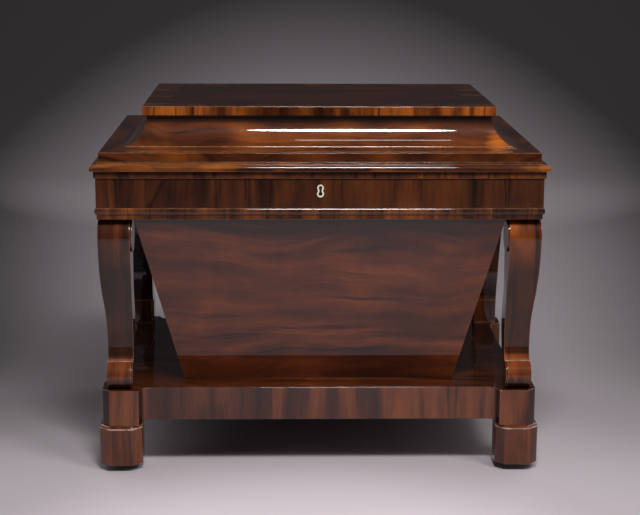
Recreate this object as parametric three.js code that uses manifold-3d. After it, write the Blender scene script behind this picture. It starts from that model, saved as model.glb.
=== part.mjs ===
// A sarcophagus cellarette: a hinged chest for bottles, with a tapering well that hangs
// between four scroll legs on a platform. Millimetres, +Z up. The origin is on the floor
// under the middle, and the front faces -Y.
import * as THREE from "three";
import { mergeVertices } from "three/addons/utils/BufferGeometryUtils.js";
import Module from "manifold-3d";

const wasm = await Module();
wasm.setup();

// Case, measured over the frieze faces
const caseWidth = 794.4;
const caseDepth = 580.2;
const friezeHeight = 52.7;
const friezeThickness = 20;

// Heights of what lies under the case, from the floor upwards
const footClearance = 12;
const footHeight = 68.5;
const footCapRise = 5.5;
const postHeight = 66;
const apronLift = 5;
const legHeight = 316;
const shoulderHeight = 8.5;
const beadHeight = 12.5;

// Base moulding, against the frieze face
const shoulderInset = 1;
const beadProud = 2.5;
const beadBulge = 4;

// Lid, against the frieze face
const seamGap = 0.3;
const railHeight = 13;
const railProud = 3.1;
const lidFrameWidth = 62;
const ovoloProud = 9.3;
const ovoloLip = 5;
const ovoloRise = 7;
const ovoloHeel = 1.2;
const ovoloUnderInset = 0.8;
const filletInset = 2.7;
const filletHeight = 3.5;
const fasciaInset = 5.3;
const fasciaHeight = 16.1;
const coveLedge = 22.4;
const coveRun = 58;
const coveRise = 56.9;
const coveBacking = 40;
const slabThickness = 16.9;
const slabOverhang = 7.7;

// Well: its mouth lies back from the case faces, and each side draws in towards the foot
const wellEndSetback = 66.2;
const wellFrontSetback = 5.1;
const wellFlare = 82;
const wellWall = 18.6;
const wellBottomThickness = 12;
const liningThickness = 1.6;

// Bottle partitions
const partitionHeight = 150;
const partitionThickness = 8;
const bottleColumns = 4;
const bottleRows = 3;

// Scroll legs: depth is measured back from the leg's front, height from its foot
const legWidth = 57.4;
const legWaistInset = 11.2;
const legWaistStartShare = 0.22;
const legWaistEndShare = 0.78;
const upperRollRadius = 34;
const upperRollLeave = THREE.MathUtils.degToRad(12);
const lowerRollRadius = 25.5;
const lowerRollArris = THREE.MathUtils.degToRad(79);
const lowerRollRecess = 3;
const lowerRollLip = 1;
const neckDepth = 37;
const neckHeight = 96;
const scoopHeight = 76;
const scoopLean = THREE.MathUtils.degToRad(28);
const frontPull = 70;
const neckPull = 50;
const shaftTopDepth = 68;
const shaftTopShare = 0.864;
const shaftWaistDepth = 64;
const shaftWaistShare = 0.611;
const shaftHeelDepth = 83;
const shaftHeelShare = 0.348;
const shaftFootDepth = 66;
const shaftPullShare = 0.1076;
const discThickness = 3.5;
const upperDiscMargin = 3.7;
const lowerDiscMargin = 2.2;
const discEdge = 1.2;

// Platform and feet
const postInset = 1.6;
const postWidth = 67.5;
const postCant = 16;
const apronRecess = 24.1;
const footProud = 4.1;
const footWidth = 78.4;
const footCant = 18;

// Casters, recessed in the feet
const wheelRadius = 13;
const wheelWidth = 11;
const treadRound = 1.5;
const axleRadius = 2.2;
const casterTrail = 8;
const casterRecessRadius = 24;
const casterRecessDepth = 22;
const stemRadius = 4;
const stemLength = 28;
const crownRadius = 14;
const crownThickness = 3;
const cheekThickness = 2.5;
const cheekHalfDepth = 7;
const cheekEndRadius = 4.6;
const wheelSideGap = 0.5;

// Butt hinges in the seam at the back
const hingeSpacing = 480;
const leafLength = 64;
const leafThickness = 2;
const leafReach = 22;
const knuckleRadius = 2.9;
const hingePinRadius = 1.5;
const knuckleCount = 5;

// Keyhole and its inlaid escutcheon
const keyholeBelowSeam = 16.6;
const keyholeRound = 3.4;
const keyholeWaist = 2.2;
const keyholeFoot = 3.8;
const keyholeDrop = 10.9;
const escutcheonStroke = 2.4;
const escutcheonThickness = 2.5;
const escutcheonProud = 0.2;

// Box lock in the front frieze
const lockWidth = 72;
const lockHeight = 39.7;
const lockThickness = 11.9;
const lockWall = 2;
const lockBackWall = 1.9;
const lockPlateWidth = 84;
const lockPlateDepth = 15.9;
const lockPlateThickness = 2;
const boltChamberWidth = 64;
const boltChamberHeight = 9.7;
const keyChamberStart = -10;
const keyChamberEnd = 16;
const keyChamberHeight = 24;
const boltBarStart = -30;
const boltBarEnd = 24;
const boltBarHeight = 2.7;
const boltThrow = 7;
const boltTipGap = 0.5;
const boltPostWidth = 3;
const boltTalonOffset = 7.2;
const boltTalonWidth = 2.4;
const boltTalonDrop = 5;
const linkSpacing = 28;
const linkThickness = 3;
const linkWidth = 6.8;
const linkDrop = 8.6;
const linkEyeWidth = 4.4;
const linkEyeHeight = 3.5;
const linkEyeFloor = 1.3;
const linkPlateWidth = 60;
const linkPlateDepth = 11;
const linkPlateThickness = 2;
const linkSideGap = 0.8;

// Clearances
const fitGap = 0.3;
const mitreGap = 0.2;
const overrun = 2;
const joinLap = 1;
const easedEdge = 1;
const weldDistance = 0.0005;

// Facets
const coveSteps = 14;
const smallCoveSteps = 7;
const rollSteps = 16;
const waistSteps = 12;
const keyholeSteps = 9;
const smallRoundSteps = 16;
const wheelSteps = 24;
const capSteps = 4;

// Levels that follow from the heights
const footTop = footClearance + footHeight;
const postBottom = footTop + footCapRise;
const apronBottom = postBottom + apronLift;
const platformTop = postBottom + postHeight;
const legTop = platformTop + legHeight;
const beadBottom = legTop + shoulderHeight;
const friezeBottom = beadBottom + beadHeight;
const friezeTop = friezeBottom + friezeHeight;
const railBottom = friezeTop + seamGap;
const railTop = railBottom + railHeight;
const ovoloTop = railTop + ovoloLip + ovoloRise;
const filletTop = ovoloTop + filletHeight;
const fasciaTop = filletTop + fasciaHeight;
const slabBottom = fasciaTop + coveRise;

// Half sizes that follow
const halfWidth = caseWidth / 2;
const halfDepth = caseDepth / 2;
const wellHalfWidth = halfWidth - wellEndSetback - wellFlare;
const wellHalfDepth = halfDepth - wellFrontSetback - wellFlare;
const wellSlope = wellFlare / legHeight;
const coveNeckInset = fasciaInset + coveLedge + coveRun;

// How much wider each side of the well is at a height than at its outer foot, less an inset
const wellGrowth = (height, inset) => wellSlope * (height - platformTop) - inset;
const floorEdgeInset = halfDepth - wellHalfDepth - wellGrowth(friezeBottom, wellWall) - fitGap;
const floorHalfWidth = wellHalfWidth + wellGrowth(friezeBottom, wellWall) + fitGap;
const floorHalfDepth = halfDepth - floorEdgeInset;

const rosewood = { color: 0x4a1c10, roughness: 0.22, metalness: 0 };
const innerWood = { color: 0x7a4a28, roughness: 0.55, metalness: 0 };
const bone = { color: 0xe6d9b8, roughness: 0.4, metalness: 0 };
const brass = { color: 0xb08a45, roughness: 0.35, metalness: 0.9 };
const iron = { color: 0x4b4744, roughness: 0.5, metalness: 0.8 };
const zinc = { color: 0x8d9093, roughness: 0.55, metalness: 0.7 };

const cellarette = new THREE.Group();
const lid = new THREE.Group();
cellarette.add(lid);

function addPart(parent, name, geometry, finish) {
  geometry.computeVertexNormals();
  const part = new THREE.Mesh(geometry, new THREE.MeshStandardMaterial(finish));
  part.name = name;
  parent.add(part);
  return part;
}

// Solids that are joined and cut

function toSolid(geometry) {
  const plain = geometry.clone();
  plain.deleteAttribute("normal");
  plain.deleteAttribute("uv");
  const merged = mergeVertices(plain, weldDistance);
  const vertProperties = new Float32Array(merged.attributes.position.array);
  const triVerts = new Uint32Array(merged.index.array);
  return new wasm.Manifold(new wasm.Mesh({ numProp: 3, vertProperties, triVerts }));
}

function toGeometry(solid) {
  const mesh = solid.getMesh();
  const geometry = new THREE.BufferGeometry();
  geometry.setAttribute("position", new THREE.BufferAttribute(mesh.vertProperties, 3));
  geometry.setIndex(new THREE.BufferAttribute(mesh.triVerts, 1));
  return geometry;
}

const joined = (first, ...others) =>
  toGeometry(others.reduce((solid, other) => solid.add(toSolid(other)), toSolid(first)));
const carved = (first, ...cutters) =>
  toGeometry(cutters.reduce((solid, cutter) => solid.subtract(toSolid(cutter)), toSolid(first)));
const shared = (first, other) => toGeometry(toSolid(first).intersect(toSolid(other)));

// Basic forms

function board(x0, x1, y0, y1, z0, z1) {
  const geometry = new THREE.BoxGeometry(x1 - x0, y1 - y0, z1 - z0);
  return geometry.translate((x0 + x1) / 2, (y0 + y1) / 2, (z0 + z1) / 2);
}

function outline(points) {
  return new THREE.Shape(points.map(([across, up]) => new THREE.Vector2(across, up)));
}

function extruded(shape, length, curveSegments = coveSteps) {
  return new THREE.ExtrudeGeometry(shape, { depth: length, bevelEnabled: false, curveSegments });
}

// An outline drawn in X and height, from one depth to another
function facingFront(shape, y0, y1, curveSegments) {
  return extruded(shape, y1 - y0, curveSegments).rotateX(Math.PI / 2).translate(0, y1, 0);
}

// An outline drawn in depth and height, from one X to another
function facingSide(shape, x0, x1, curveSegments) {
  const geometry = extruded(shape, x1 - x0, curveSegments);
  return geometry.rotateX(Math.PI / 2).rotateZ(Math.PI / 2).translate(x0, 0, 0);
}

// An outline drawn in plan, between two heights
function fromPlan(shape, z0, z1) {
  return extruded(shape, z1 - z0).translate(0, 0, z0);
}

function uprightCylinder(radius, z0, z1, steps = smallRoundSteps) {
  const geometry = new THREE.CylinderGeometry(radius, radius, z1 - z0, steps);
  return geometry.rotateX(Math.PI / 2).translate(0, 0, (z0 + z1) / 2);
}

function levelCylinder(radius, x0, x1, y, z, steps = smallRoundSteps) {
  const geometry = new THREE.CylinderGeometry(radius, radius, x1 - x0, steps);
  return geometry.rotateZ(Math.PI / 2).translate((x0 + x1) / 2, y, z);
}

// A closed form through level rings, each a list of plan points
function stacked(rings) {
  const count = rings[0].points.length;
  const positions = rings.flatMap((ring) => ring.points.flatMap((point) => [point.x, point.y, ring.z]));
  const index = [];
  for (let level = 0; level < rings.length - 1; level++) {
    for (let corner = 0; corner < count; corner++) {
      const next = (corner + 1) % count;
      const low = level * count;
      const high = low + count;
      index.push(low + corner, low + next, high + next);
      index.push(low + corner, high + next, high + corner);
    }
  }
  const top = (rings.length - 1) * count;
  for (const [a, b, c] of THREE.ShapeUtils.triangulateShape(rings[0].points, [])) {
    index.push(a, c, b);
  }
  for (const [a, b, c] of THREE.ShapeUtils.triangulateShape(rings[rings.length - 1].points, [])) {
    index.push(top + a, top + b, top + c);
  }
  const geometry = new THREE.BufferGeometry();
  geometry.setAttribute("position", new THREE.Float32BufferAttribute(positions, 3));
  return geometry.setIndex(index);
}

function rectangle(halfX, halfY) {
  return [
    new THREE.Vector2(halfX, -halfY),
    new THREE.Vector2(halfX, halfY),
    new THREE.Vector2(-halfX, halfY),
    new THREE.Vector2(-halfX, -halfY),
  ];
}

// The plan of all four quarters, from the quarter that runs from +X round to +Y
function fourfold(quarter) {
  const mirrored = (x, y) => quarter.map((point) => new THREE.Vector2(point.x * x, point.y * y));
  return [...quarter, ...mirrored(-1, 1).reverse(), ...mirrored(-1, -1), ...mirrored(1, -1).reverse()];
}

// Mitred frames round the case

const sides = [
  { name: "front", turns: 0 },
  { name: "right", turns: 1 },
  { name: "back", turns: 2 },
  { name: "left", turns: 3 },
];

// A length of moulding along the front. The profile is drawn outwards from a face and in
// height, and both ends are cut at 45 degrees.
function mitredLength(profile, halfAlong, halfOut) {
  const geometry = extruded(profile, 1);
  const position = geometry.attributes.position;
  for (let i = 0; i < position.count; i++) {
    const out = position.getX(i);
    const end = 1 - 2 * position.getZ(i);
    position.setXYZ(i, end * (halfAlong + out - mitreGap / 2), -halfOut - out, position.getY(i));
  }
  return geometry;
}

function addMitredFrame(parent, prefix, profile, halfX, halfY, finish, cuts = {}) {
  for (const { name, turns } of sides) {
    const along = turns % 2 === 0 ? halfX : halfY;
    const out = turns % 2 === 0 ? halfY : halfX;
    const length = mitredLength(profile, along, out).rotateZ((turns * Math.PI) / 2);
    const geometry = cuts[name] ? carved(length, ...cuts[name]) : length;
    addPart(parent, prefix + "_" + name, geometry, finish);
  }
}

// Keyhole outline, centred on its round part and grown outwards by a margin

const keyholeHeight = friezeTop - keyholeBelowSeam;

function tracedKeyhole(path, grow) {
  const round = keyholeRound + grow;
  const waist = keyholeWaist + grow;
  const foot = keyholeFoot + grow;
  const roundAngle = Math.acos(waist / round);
  const footAngle = Math.acos(waist / foot);
  const footCentre = keyholeHeight - keyholeDrop;
  path.absarc(0, keyholeHeight, round, -roundAngle, Math.PI + roundAngle, false);
  path.absarc(0, footCentre, foot, Math.PI - footAngle, 2 * Math.PI + footAngle, false);
  path.closePath();
  return path;
}

function keyholePlug(grow, y0, y1) {
  return facingFront(tracedKeyhole(new THREE.Shape(), grow), y0, y1, keyholeSteps);
}

// Lock, placed in depth from the inner face of the frieze

const lockBackY = -(halfDepth - friezeThickness);
const lockFrontY = lockBackY - lockThickness;
const chamberBackY = lockBackY - lockBackWall;
const chamberFrontY = lockFrontY + lockWall;
const chamberMiddleY = (chamberBackY + chamberFrontY) / 2;
const lockPlateBottom = friezeTop - lockPlateThickness;
const lockBottom = lockPlateBottom - lockHeight;
const boltFloor = lockPlateBottom - boltChamberHeight;
const linkBottom = railBottom - linkDrop;
const linkEyeBottom = linkBottom + linkEyeFloor;
const linkEyeTop = linkEyeBottom + linkEyeHeight;
const linkPlaces = [-linkSpacing / 2, linkSpacing / 2];

function lockCase() {
  const body = board(-lockWidth / 2, lockWidth / 2, lockFrontY, lockBackY, lockBottom, lockPlateBottom);
  const plateFront = lockBackY - lockPlateDepth;
  const halfPlate = lockPlateWidth / 2;
  const plate = board(-halfPlate, halfPlate, plateFront, lockBackY, lockPlateBottom, friezeTop);
  const halfChamber = boltChamberWidth / 2;
  const boltChamber = board(
    -halfChamber, halfChamber, chamberFrontY, chamberBackY, boltFloor, lockPlateBottom);
  const keyChamber = board(
    keyChamberStart, keyChamberEnd, chamberFrontY, chamberBackY, boltFloor - keyChamberHeight, boltFloor);
  const keyhole = keyholePlug(0, lockFrontY - overrun, chamberMiddleY);
  const halfSlot = linkThickness / 2 + fitGap;
  const slotDepth = linkWidth / 2 + linkSideGap;
  const slots = linkPlaces.map((x) =>
    board(
      x - halfSlot, x + halfSlot, chamberMiddleY - slotDepth, chamberMiddleY + slotDepth,
      lockPlateBottom - overrun, friezeTop + overrun));
  const housing = joined(body, plate);
  return carved(housing, joined(boltChamber, keyChamber), keyhole, ...slots);
}

function lockBolt() {
  const back = chamberBackY - fitGap;
  const front = chamberFrontY + fitGap;
  const barBottom = boltFloor + fitGap;
  const barTop = barBottom + boltBarHeight;
  const fingerBottom = linkEyeBottom + fitGap;
  const fingerTop = linkEyeTop - fitGap;
  const fingerFront = chamberMiddleY - linkEyeWidth / 2 + fitGap;
  const fingerBack = chamberMiddleY + linkEyeWidth / 2 - fitGap;
  const pieces = [board(boltBarStart, boltBarEnd, front, back, barBottom, barTop)];
  for (const x of linkPlaces) {
    const tip = x - linkThickness / 2 - boltTipGap;
    const root = tip - boltThrow;
    pieces.push(board(root - boltPostWidth, root, front, back, barTop - joinLap, fingerTop));
    pieces.push(board(root - joinLap, tip, fingerFront, fingerBack, fingerBottom, fingerTop));
  }
  for (const side of [-1, 1]) {
    const x = side * boltTalonOffset;
    const halfTalon = boltTalonWidth / 2;
    const talonBottom = barBottom - boltTalonDrop;
    pieces.push(board(x - halfTalon, x + halfTalon, front, back, talonBottom, barBottom + joinLap));
  }
  return joined(...pieces);
}

function linkPlate() {
  const halfPlate = linkPlateDepth / 2;
  const halfLink = linkWidth / 2;
  const middle = chamberMiddleY;
  const plate = board(
    -linkPlateWidth / 2, linkPlateWidth / 2, middle - halfPlate, middle + halfPlate,
    railBottom, railBottom + linkPlateThickness);
  const links = linkPlaces.map((x) =>
    board(
      x - linkThickness / 2, x + linkThickness / 2, middle - halfLink, middle + halfLink,
      linkBottom, railBottom + joinLap));
  const eye = board(
    -linkPlateWidth / 2, linkPlateWidth / 2, middle - linkEyeWidth / 2, middle + linkEyeWidth / 2,
    linkEyeBottom, linkEyeTop);
  return carved(joined(plate, ...links), eye);
}

// Hinges. Their axis runs along the seam, behind the lid rail.

const hingeY = halfDepth + railProud + fitGap + knuckleRadius;
const hingeZ = (friezeTop + railBottom) / 2;
const hingePlaces = [
  { name: "left", x: -hingeSpacing / 2 },
  { name: "right", x: hingeSpacing / 2 },
];
const leafInnerY = hingeY - leafReach;
const leafOuterY = hingeY - knuckleRadius - fitGap;

function hingeLeaf(x, first, z0, z1, bored) {
  const start = x - leafLength / 2;
  const step = leafLength / knuckleCount;
  const pieces = [board(start, start + leafLength, leafInnerY, leafOuterY, z0, z1)];
  for (let knuckle = first; knuckle < knuckleCount; knuckle += 2) {
    const from = start + knuckle * step + fitGap / 2;
    const to = start + (knuckle + 1) * step - fitGap / 2;
    pieces.push(board(from, to, leafOuterY - joinLap, hingeY, z0, z1));
    pieces.push(levelCylinder(knuckleRadius, from, to, hingeY, hingeZ));
  }
  const pin = (radius) => levelCylinder(radius, start, start + leafLength, hingeY, hingeZ);
  if (bored) {
    return carved(joined(...pieces), pin(hingePinRadius + fitGap));
  }
  return joined(...pieces, pin(hingePinRadius));
}

const leafBedTop = railBottom + leafThickness;
const leafBedBottom = friezeTop - leafThickness;

function leafBeds(z0, z1) {
  return hingePlaces.map(({ x }) => {
    const half = leafLength / 2 + fitGap;
    return board(x - half, x + half, leafInnerY - fitGap, hingeY, z0, z1);
  });
}

// Lid

function rectangularProfile(inner, outer, z0, z1) {
  return outline([[inner, z0], [outer, z0], [outer, z1], [inner, z1]]);
}

function ovoloProfile() {
  const profile = new THREE.Shape();
  profile.moveTo(-lidFrameWidth, railTop);
  profile.lineTo(ovoloProud - ovoloUnderInset, railTop);
  profile.lineTo(ovoloProud, railTop + ovoloUnderInset);
  profile.lineTo(ovoloProud, railTop + ovoloLip);
  const run = ovoloProud + ovoloHeel;
  profile.absellipse(-ovoloHeel, railTop + ovoloLip, run, ovoloRise, 0, Math.PI / 2, false);
  profile.lineTo(-filletInset, ovoloTop);
  profile.lineTo(-filletInset, filletTop);
  profile.lineTo(-lidFrameWidth, filletTop);
  return profile;
}

function coveProfile() {
  const profile = new THREE.Shape();
  const ledgeInset = fasciaInset + coveLedge;
  profile.moveTo(-lidFrameWidth, filletTop);
  profile.lineTo(-fasciaInset, filletTop);
  profile.lineTo(-fasciaInset, fasciaTop);
  profile.lineTo(-ledgeInset, fasciaTop);
  profile.absellipse(-ledgeInset, slabBottom, coveRun, coveRise, -Math.PI / 2, -Math.PI, true);
  profile.lineTo(-coveNeckInset - coveBacking, slabBottom);
  return profile;
}

function addLid() {
  const slabHalfX = halfWidth - coveNeckInset + slabOverhang;
  const slabHalfY = halfDepth - coveNeckInset + slabOverhang;
  const slabTop = slabBottom + slabThickness;
  const full = rectangle(slabHalfX, slabHalfY);
  const eased = rectangle(slabHalfX - easedEdge, slabHalfY - easedEdge);
  const slab = stacked([
    { z: slabBottom, points: full },
    { z: slabTop - easedEdge, points: full },
    { z: slabTop, points: eased },
  ]);
  addPart(lid, "lid_top_board", slab, rosewood);
  addMitredFrame(lid, "lid_cove", coveProfile(), halfWidth, halfDepth, rosewood);
  addMitredFrame(lid, "lid_moulding", ovoloProfile(), halfWidth, halfDepth, rosewood);

  const halfBed = linkPlateWidth / 2 + fitGap;
  const bedDepth = linkPlateDepth / 2 + fitGap;
  const linkBed = board(
    -halfBed, halfBed, chamberMiddleY - bedDepth, chamberMiddleY + bedDepth,
    railBottom - overrun, railBottom + linkPlateThickness + fitGap);
  const rail = rectangularProfile(-lidFrameWidth, railProud, railBottom, railTop);
  addMitredFrame(lid, "lid_rail", rail, halfWidth, halfDepth, rosewood, {
    front: [linkBed],
    back: leafBeds(railBottom - overrun, leafBedTop + fitGap),
  });
  addPart(lid, "link_plate", linkPlate(), brass);
  for (const { name, x } of hingePlaces) {
    const leaf = hingeLeaf(x, 1, railBottom, leafBedTop, true);
    addPart(lid, "hinge_lid_leaf_" + name, leaf, brass);
  }
}

// Case

function baseProfile() {
  const profile = new THREE.Shape();
  profile.moveTo(-floorEdgeInset, legTop);
  profile.lineTo(-shoulderInset, legTop);
  profile.lineTo(-shoulderInset, beadBottom);
  const middle = beadBottom + beadHeight / 2;
  const centre = beadProud - beadBulge;
  profile.absellipse(centre, middle, beadBulge, beadHeight / 2, -Math.PI / 2, Math.PI / 2, false);
  profile.lineTo(-floorEdgeInset, friezeBottom);
  return profile;
}

function frontFriezeCuts() {
  const faceY = -halfDepth;
  const inlay = keyholePlug(
    escutcheonStroke + fitGap, faceY - overrun, faceY + escutcheonThickness - escutcheonProud + fitGap);
  const keyway = keyholePlug(0, faceY - overrun, lockFrontY + overrun);
  const half = lockWidth / 2 + fitGap;
  const mortise = board(
    -half, half, lockFrontY - fitGap, lockBackY + overrun, lockBottom - fitGap, friezeTop + overrun);
  const halfPlate = lockPlateWidth / 2 + fitGap;
  const plateFront = lockBackY - lockPlateDepth - fitGap;
  const plateBed = board(
    -halfPlate, halfPlate, plateFront, lockBackY + overrun, lockPlateBottom - fitGap, friezeTop + overrun);
  return [inlay, keyway, mortise, plateBed];
}

function escutcheon() {
  const ring = tracedKeyhole(new THREE.Shape(), escutcheonStroke);
  ring.holes.push(tracedKeyhole(new THREE.Path(), 0));
  const front = -halfDepth - escutcheonProud;
  return facingFront(ring, front, front + escutcheonThickness, keyholeSteps);
}

function addCase() {
  const frieze = rectangularProfile(-friezeThickness, 0, friezeBottom, friezeTop);
  addMitredFrame(cellarette, "frieze", frieze, halfWidth, halfDepth, rosewood, {
    front: frontFriezeCuts(),
    back: leafBeds(leafBedBottom - fitGap, friezeTop + overrun),
  });
  addMitredFrame(cellarette, "base_moulding", baseProfile(), halfWidth, halfDepth, rosewood);
  const outer = halfWidth - floorEdgeInset;
  for (const [name, side] of [["left", -1], ["right", 1]]) {
    const edges = [side * floorHalfWidth, side * outer].sort((a, b) => a - b);
    const floor = board(edges[0], edges[1], -floorHalfDepth, floorHalfDepth, legTop, friezeBottom);
    addPart(cellarette, "case_floor_" + name, floor, innerWood);
  }
  addPart(cellarette, "escutcheon", escutcheon(), bone);
  addPart(cellarette, "lock_case", lockCase(), brass);
  addPart(cellarette, "lock_bolt", lockBolt(), brass);
  for (const { name, x } of hingePlaces) {
    const leaf = hingeLeaf(x, 0, leafBedBottom, friezeTop, false);
    addPart(cellarette, "hinge_case_leaf_" + name, leaf, brass);
  }
}

// Well, lining and partitions

function taperedSolid(inset, z0, z1) {
  const ringAt = (z) => ({
    z,
    points: rectangle(wellHalfWidth + wellGrowth(z, inset), wellHalfDepth + wellGrowth(z, inset)),
  });
  return stacked([ringAt(z0), ringAt(z1)]);
}

const wellBottomTop = platformTop + wellBottomThickness;
const liningBottom = wellBottomTop + fitGap;
const liningOuterInset = wellWall + fitGap;
const liningInnerInset = liningOuterInset + liningThickness;
const partitionBottom = liningBottom + liningThickness + fitGap;
const partitionTop = partitionBottom + partitionHeight;

function evenPlaces(half, count) {
  return Array.from({ length: count - 1 }, (_, i) => -half + (2 * half * (i + 1)) / count);
}

// A partition's outline: tapered ends, and slots of half its height from one edge
function partitionOutline(halfAtFloor, crossings, slotsFromTop) {
  const halfAt = (z) => halfAtFloor + wellGrowth(z, liningInnerInset + fitGap);
  const middle = (partitionBottom + partitionTop) / 2;
  const halfSlot = partitionThickness / 2 + fitGap;
  const slotFloor = slotsFromTop ? middle - fitGap / 2 : middle + fitGap / 2;
  const edge = slotsFromTop ? partitionTop : partitionBottom;
  const notches = crossings.flatMap((x) => [
    [x - halfSlot, edge], [x - halfSlot, slotFloor], [x + halfSlot, slotFloor], [x + halfSlot, edge],
  ]);
  const bottom = [[-halfAt(partitionBottom), partitionBottom], [halfAt(partitionBottom), partitionBottom]];
  const top = [[halfAt(partitionTop), partitionTop], [-halfAt(partitionTop), partitionTop]];
  if (slotsFromTop) {
    return outline([...bottom, top[0], ...notches.reverse(), top[1]]);
  }
  return outline([bottom[0], ...notches, bottom[1], ...top]);
}

function addWell() {
  const wall = outline([
    [0, platformTop], [wellFlare, legTop], [wellFlare - wellWall, legTop], [-wellWall, platformTop]]);
  addMitredFrame(cellarette, "well", wall, wellHalfWidth, wellHalfDepth, rosewood);
  const bottom = taperedSolid(wellWall + fitGap, platformTop, wellBottomTop);
  addPart(cellarette, "well_bottom", bottom, innerWood);

  const liningTop = friezeBottom - fitGap;
  const tub = taperedSolid(liningOuterInset, liningBottom, liningTop);
  const hollow = taperedSolid(liningInnerInset, liningBottom + liningThickness, liningTop + overrun);
  addPart(cellarette, "well_lining", carved(tub, hollow), zinc);

  const innerHalfWidth = wellHalfWidth + wellGrowth(partitionBottom, liningInnerInset);
  const innerHalfDepth = wellHalfDepth + wellGrowth(partitionBottom, liningInnerInset);
  const columns = evenPlaces(innerHalfWidth, bottleColumns);
  const rows = evenPlaces(innerHalfDepth, bottleRows);
  const halfThickness = partitionThickness / 2;
  rows.forEach((y, i) => {
    const shape = partitionOutline(wellHalfWidth, columns, true);
    const geometry = facingFront(shape, y - halfThickness, y + halfThickness);
    addPart(cellarette, "partition_long_" + (i + 1), geometry, innerWood);
  });
  columns.forEach((x, i) => {
    const shape = partitionOutline(wellHalfDepth, rows, false);
    const geometry = facingSide(shape, x - halfThickness, x + halfThickness);
    addPart(cellarette, "partition_cross_" + (i + 1), geometry, innerWood);
  });
}

// Scroll legs

const rollMiddle = platformTop + lowerRollRadius;
const arrisLevel = rollMiddle + lowerRollRadius * Math.sin(lowerRollArris);

// The leg seen from the side: depth back from its front, and height
function scrollOutline() {
  const foot = platformTop;
  const shape = new THREE.Shape();
  const rollCentre = legTop - upperRollRadius;
  shape.moveTo(upperRollRadius, legTop);
  shape.absarc(
    upperRollRadius, rollCentre, upperRollRadius, Math.PI / 2, Math.PI + upperRollLeave, false);
  const leaveDepth = upperRollRadius * (1 - Math.cos(upperRollLeave));
  const leaveHeight = rollCentre - upperRollRadius * Math.sin(upperRollLeave);
  shape.bezierCurveTo(
    leaveDepth + frontPull * Math.sin(upperRollLeave), leaveHeight - frontPull * Math.cos(upperRollLeave),
    neckDepth, foot + neckHeight + neckPull,
    neckDepth, foot + neckHeight);
  shape.lineTo(neckDepth, foot + scoopHeight);
  const arrisDepth = lowerRollRadius * (1 + Math.cos(lowerRollArris));
  const scoopRise = (neckDepth - arrisDepth) / Math.tan(scoopLean);
  shape.quadraticCurveTo(neckDepth, arrisLevel + scoopRise, arrisDepth, arrisLevel);
  shape.absarc(lowerRollRadius, rollMiddle, lowerRollRadius, lowerRollArris, (3 * Math.PI) / 2, false);
  const heel = foot + shaftHeelShare * legHeight;
  const waist = foot + shaftWaistShare * legHeight;
  const top = foot + shaftTopShare * legHeight;
  const pull = shaftPullShare * legHeight;
  shape.lineTo(shaftFootDepth, foot);
  shape.bezierCurveTo(shaftFootDepth, foot + 2 * pull, shaftHeelDepth, heel - pull, shaftHeelDepth, heel);
  shape.bezierCurveTo(shaftHeelDepth, heel + pull, shaftWaistDepth, waist - pull, shaftWaistDepth, waist);
  shape.bezierCurveTo(shaftWaistDepth, waist + pull, shaftTopDepth, top - pull, shaftTopDepth, top);
  shape.lineTo(shaftTopDepth, legTop);
  return shape;
}

// The right-hand leg seen from the front: its outer face draws in towards the foot
function waistOutline(innerX, outerX) {
  const waistX = outerX - legWaistInset;
  const start = platformTop + legWaistStartShare * legHeight;
  const end = platformTop + legWaistEndShare * legHeight;
  const middle = (start + end) / 2;
  const shape = new THREE.Shape();
  shape.moveTo(innerX, platformTop);
  shape.lineTo(waistX, platformTop);
  shape.lineTo(waistX, start);
  shape.bezierCurveTo(waistX, middle, outerX, middle, outerX, end);
  shape.lineTo(outerX, legTop);
  shape.lineTo(innerX, legTop);
  return shape;
}

// A disc on the inner side of a roll, from its face at an X into the leg
function rollDisc(radius, thickness, faceX, y, z) {
  const profile = [
    new THREE.Vector2(0, 0),
    new THREE.Vector2(radius - discEdge, 0),
    new THREE.Vector2(radius, discEdge),
    new THREE.Vector2(radius, thickness + joinLap),
    new THREE.Vector2(0, thickness + joinLap),
  ];
  const disc = new THREE.LatheGeometry(profile, 2 * rollSteps);
  return disc.rotateZ(-Math.PI / 2).translate(faceX, y, z);
}

function addLegs() {
  const outerX = halfWidth - shoulderInset;
  const innerX = outerX - legWidth;
  const frontY = -(halfDepth - shoulderInset);
  const scroll = facingSide(scrollOutline(), innerX, outerX + overrun, rollSteps).translate(0, frontY, 0);
  const waist = facingFront(waistOutline(innerX, outerX), frontY - overrun, 0, waistSteps);
  const recess = board(
    innerX - overrun, innerX + lowerRollRecess, frontY - overrun, 0,
    platformTop - overrun, arrisLevel - lowerRollLip);
  const upperDisc = rollDisc(
    upperRollRadius - upperDiscMargin, discThickness, innerX - discThickness,
    frontY + upperRollRadius, legTop - upperRollRadius);
  const lowerDisc = rollDisc(
    lowerRollRadius - lowerDiscMargin, lowerRollRecess, innerX, frontY + lowerRollRadius, rollMiddle);
  const leg = joined(carved(shared(scroll, waist), recess), upperDisc, lowerDisc);
  for (const [depthName, depth] of [["front", 1], ["back", -1]]) {
    for (const [sideName, side] of [["left", -1], ["right", 1]]) {
      const part = addPart(cellarette, "leg_" + depthName + "_" + sideName, leg.clone(), rosewood);
      part.scale.set(side, depth, 1);
    }
  }
}

// Platform

function platformQuarter() {
  const x = halfWidth - postInset;
  const y = halfDepth - postInset;
  const reach = postWidth + apronRecess;
  const radius = apronRecess;
  const sideCove = new THREE.EllipseCurve(x, y - reach, radius, radius, Math.PI, Math.PI / 2, true);
  const frontCove = new THREE.EllipseCurve(x - reach, y, radius, radius, 0, -Math.PI / 2, true);
  return [
    ...sideCove.getPoints(smallCoveSteps),
    new THREE.Vector2(x, y - postCant),
    new THREE.Vector2(x - postCant, y),
    ...frontCove.getPoints(smallCoveSteps),
  ];
}

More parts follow.
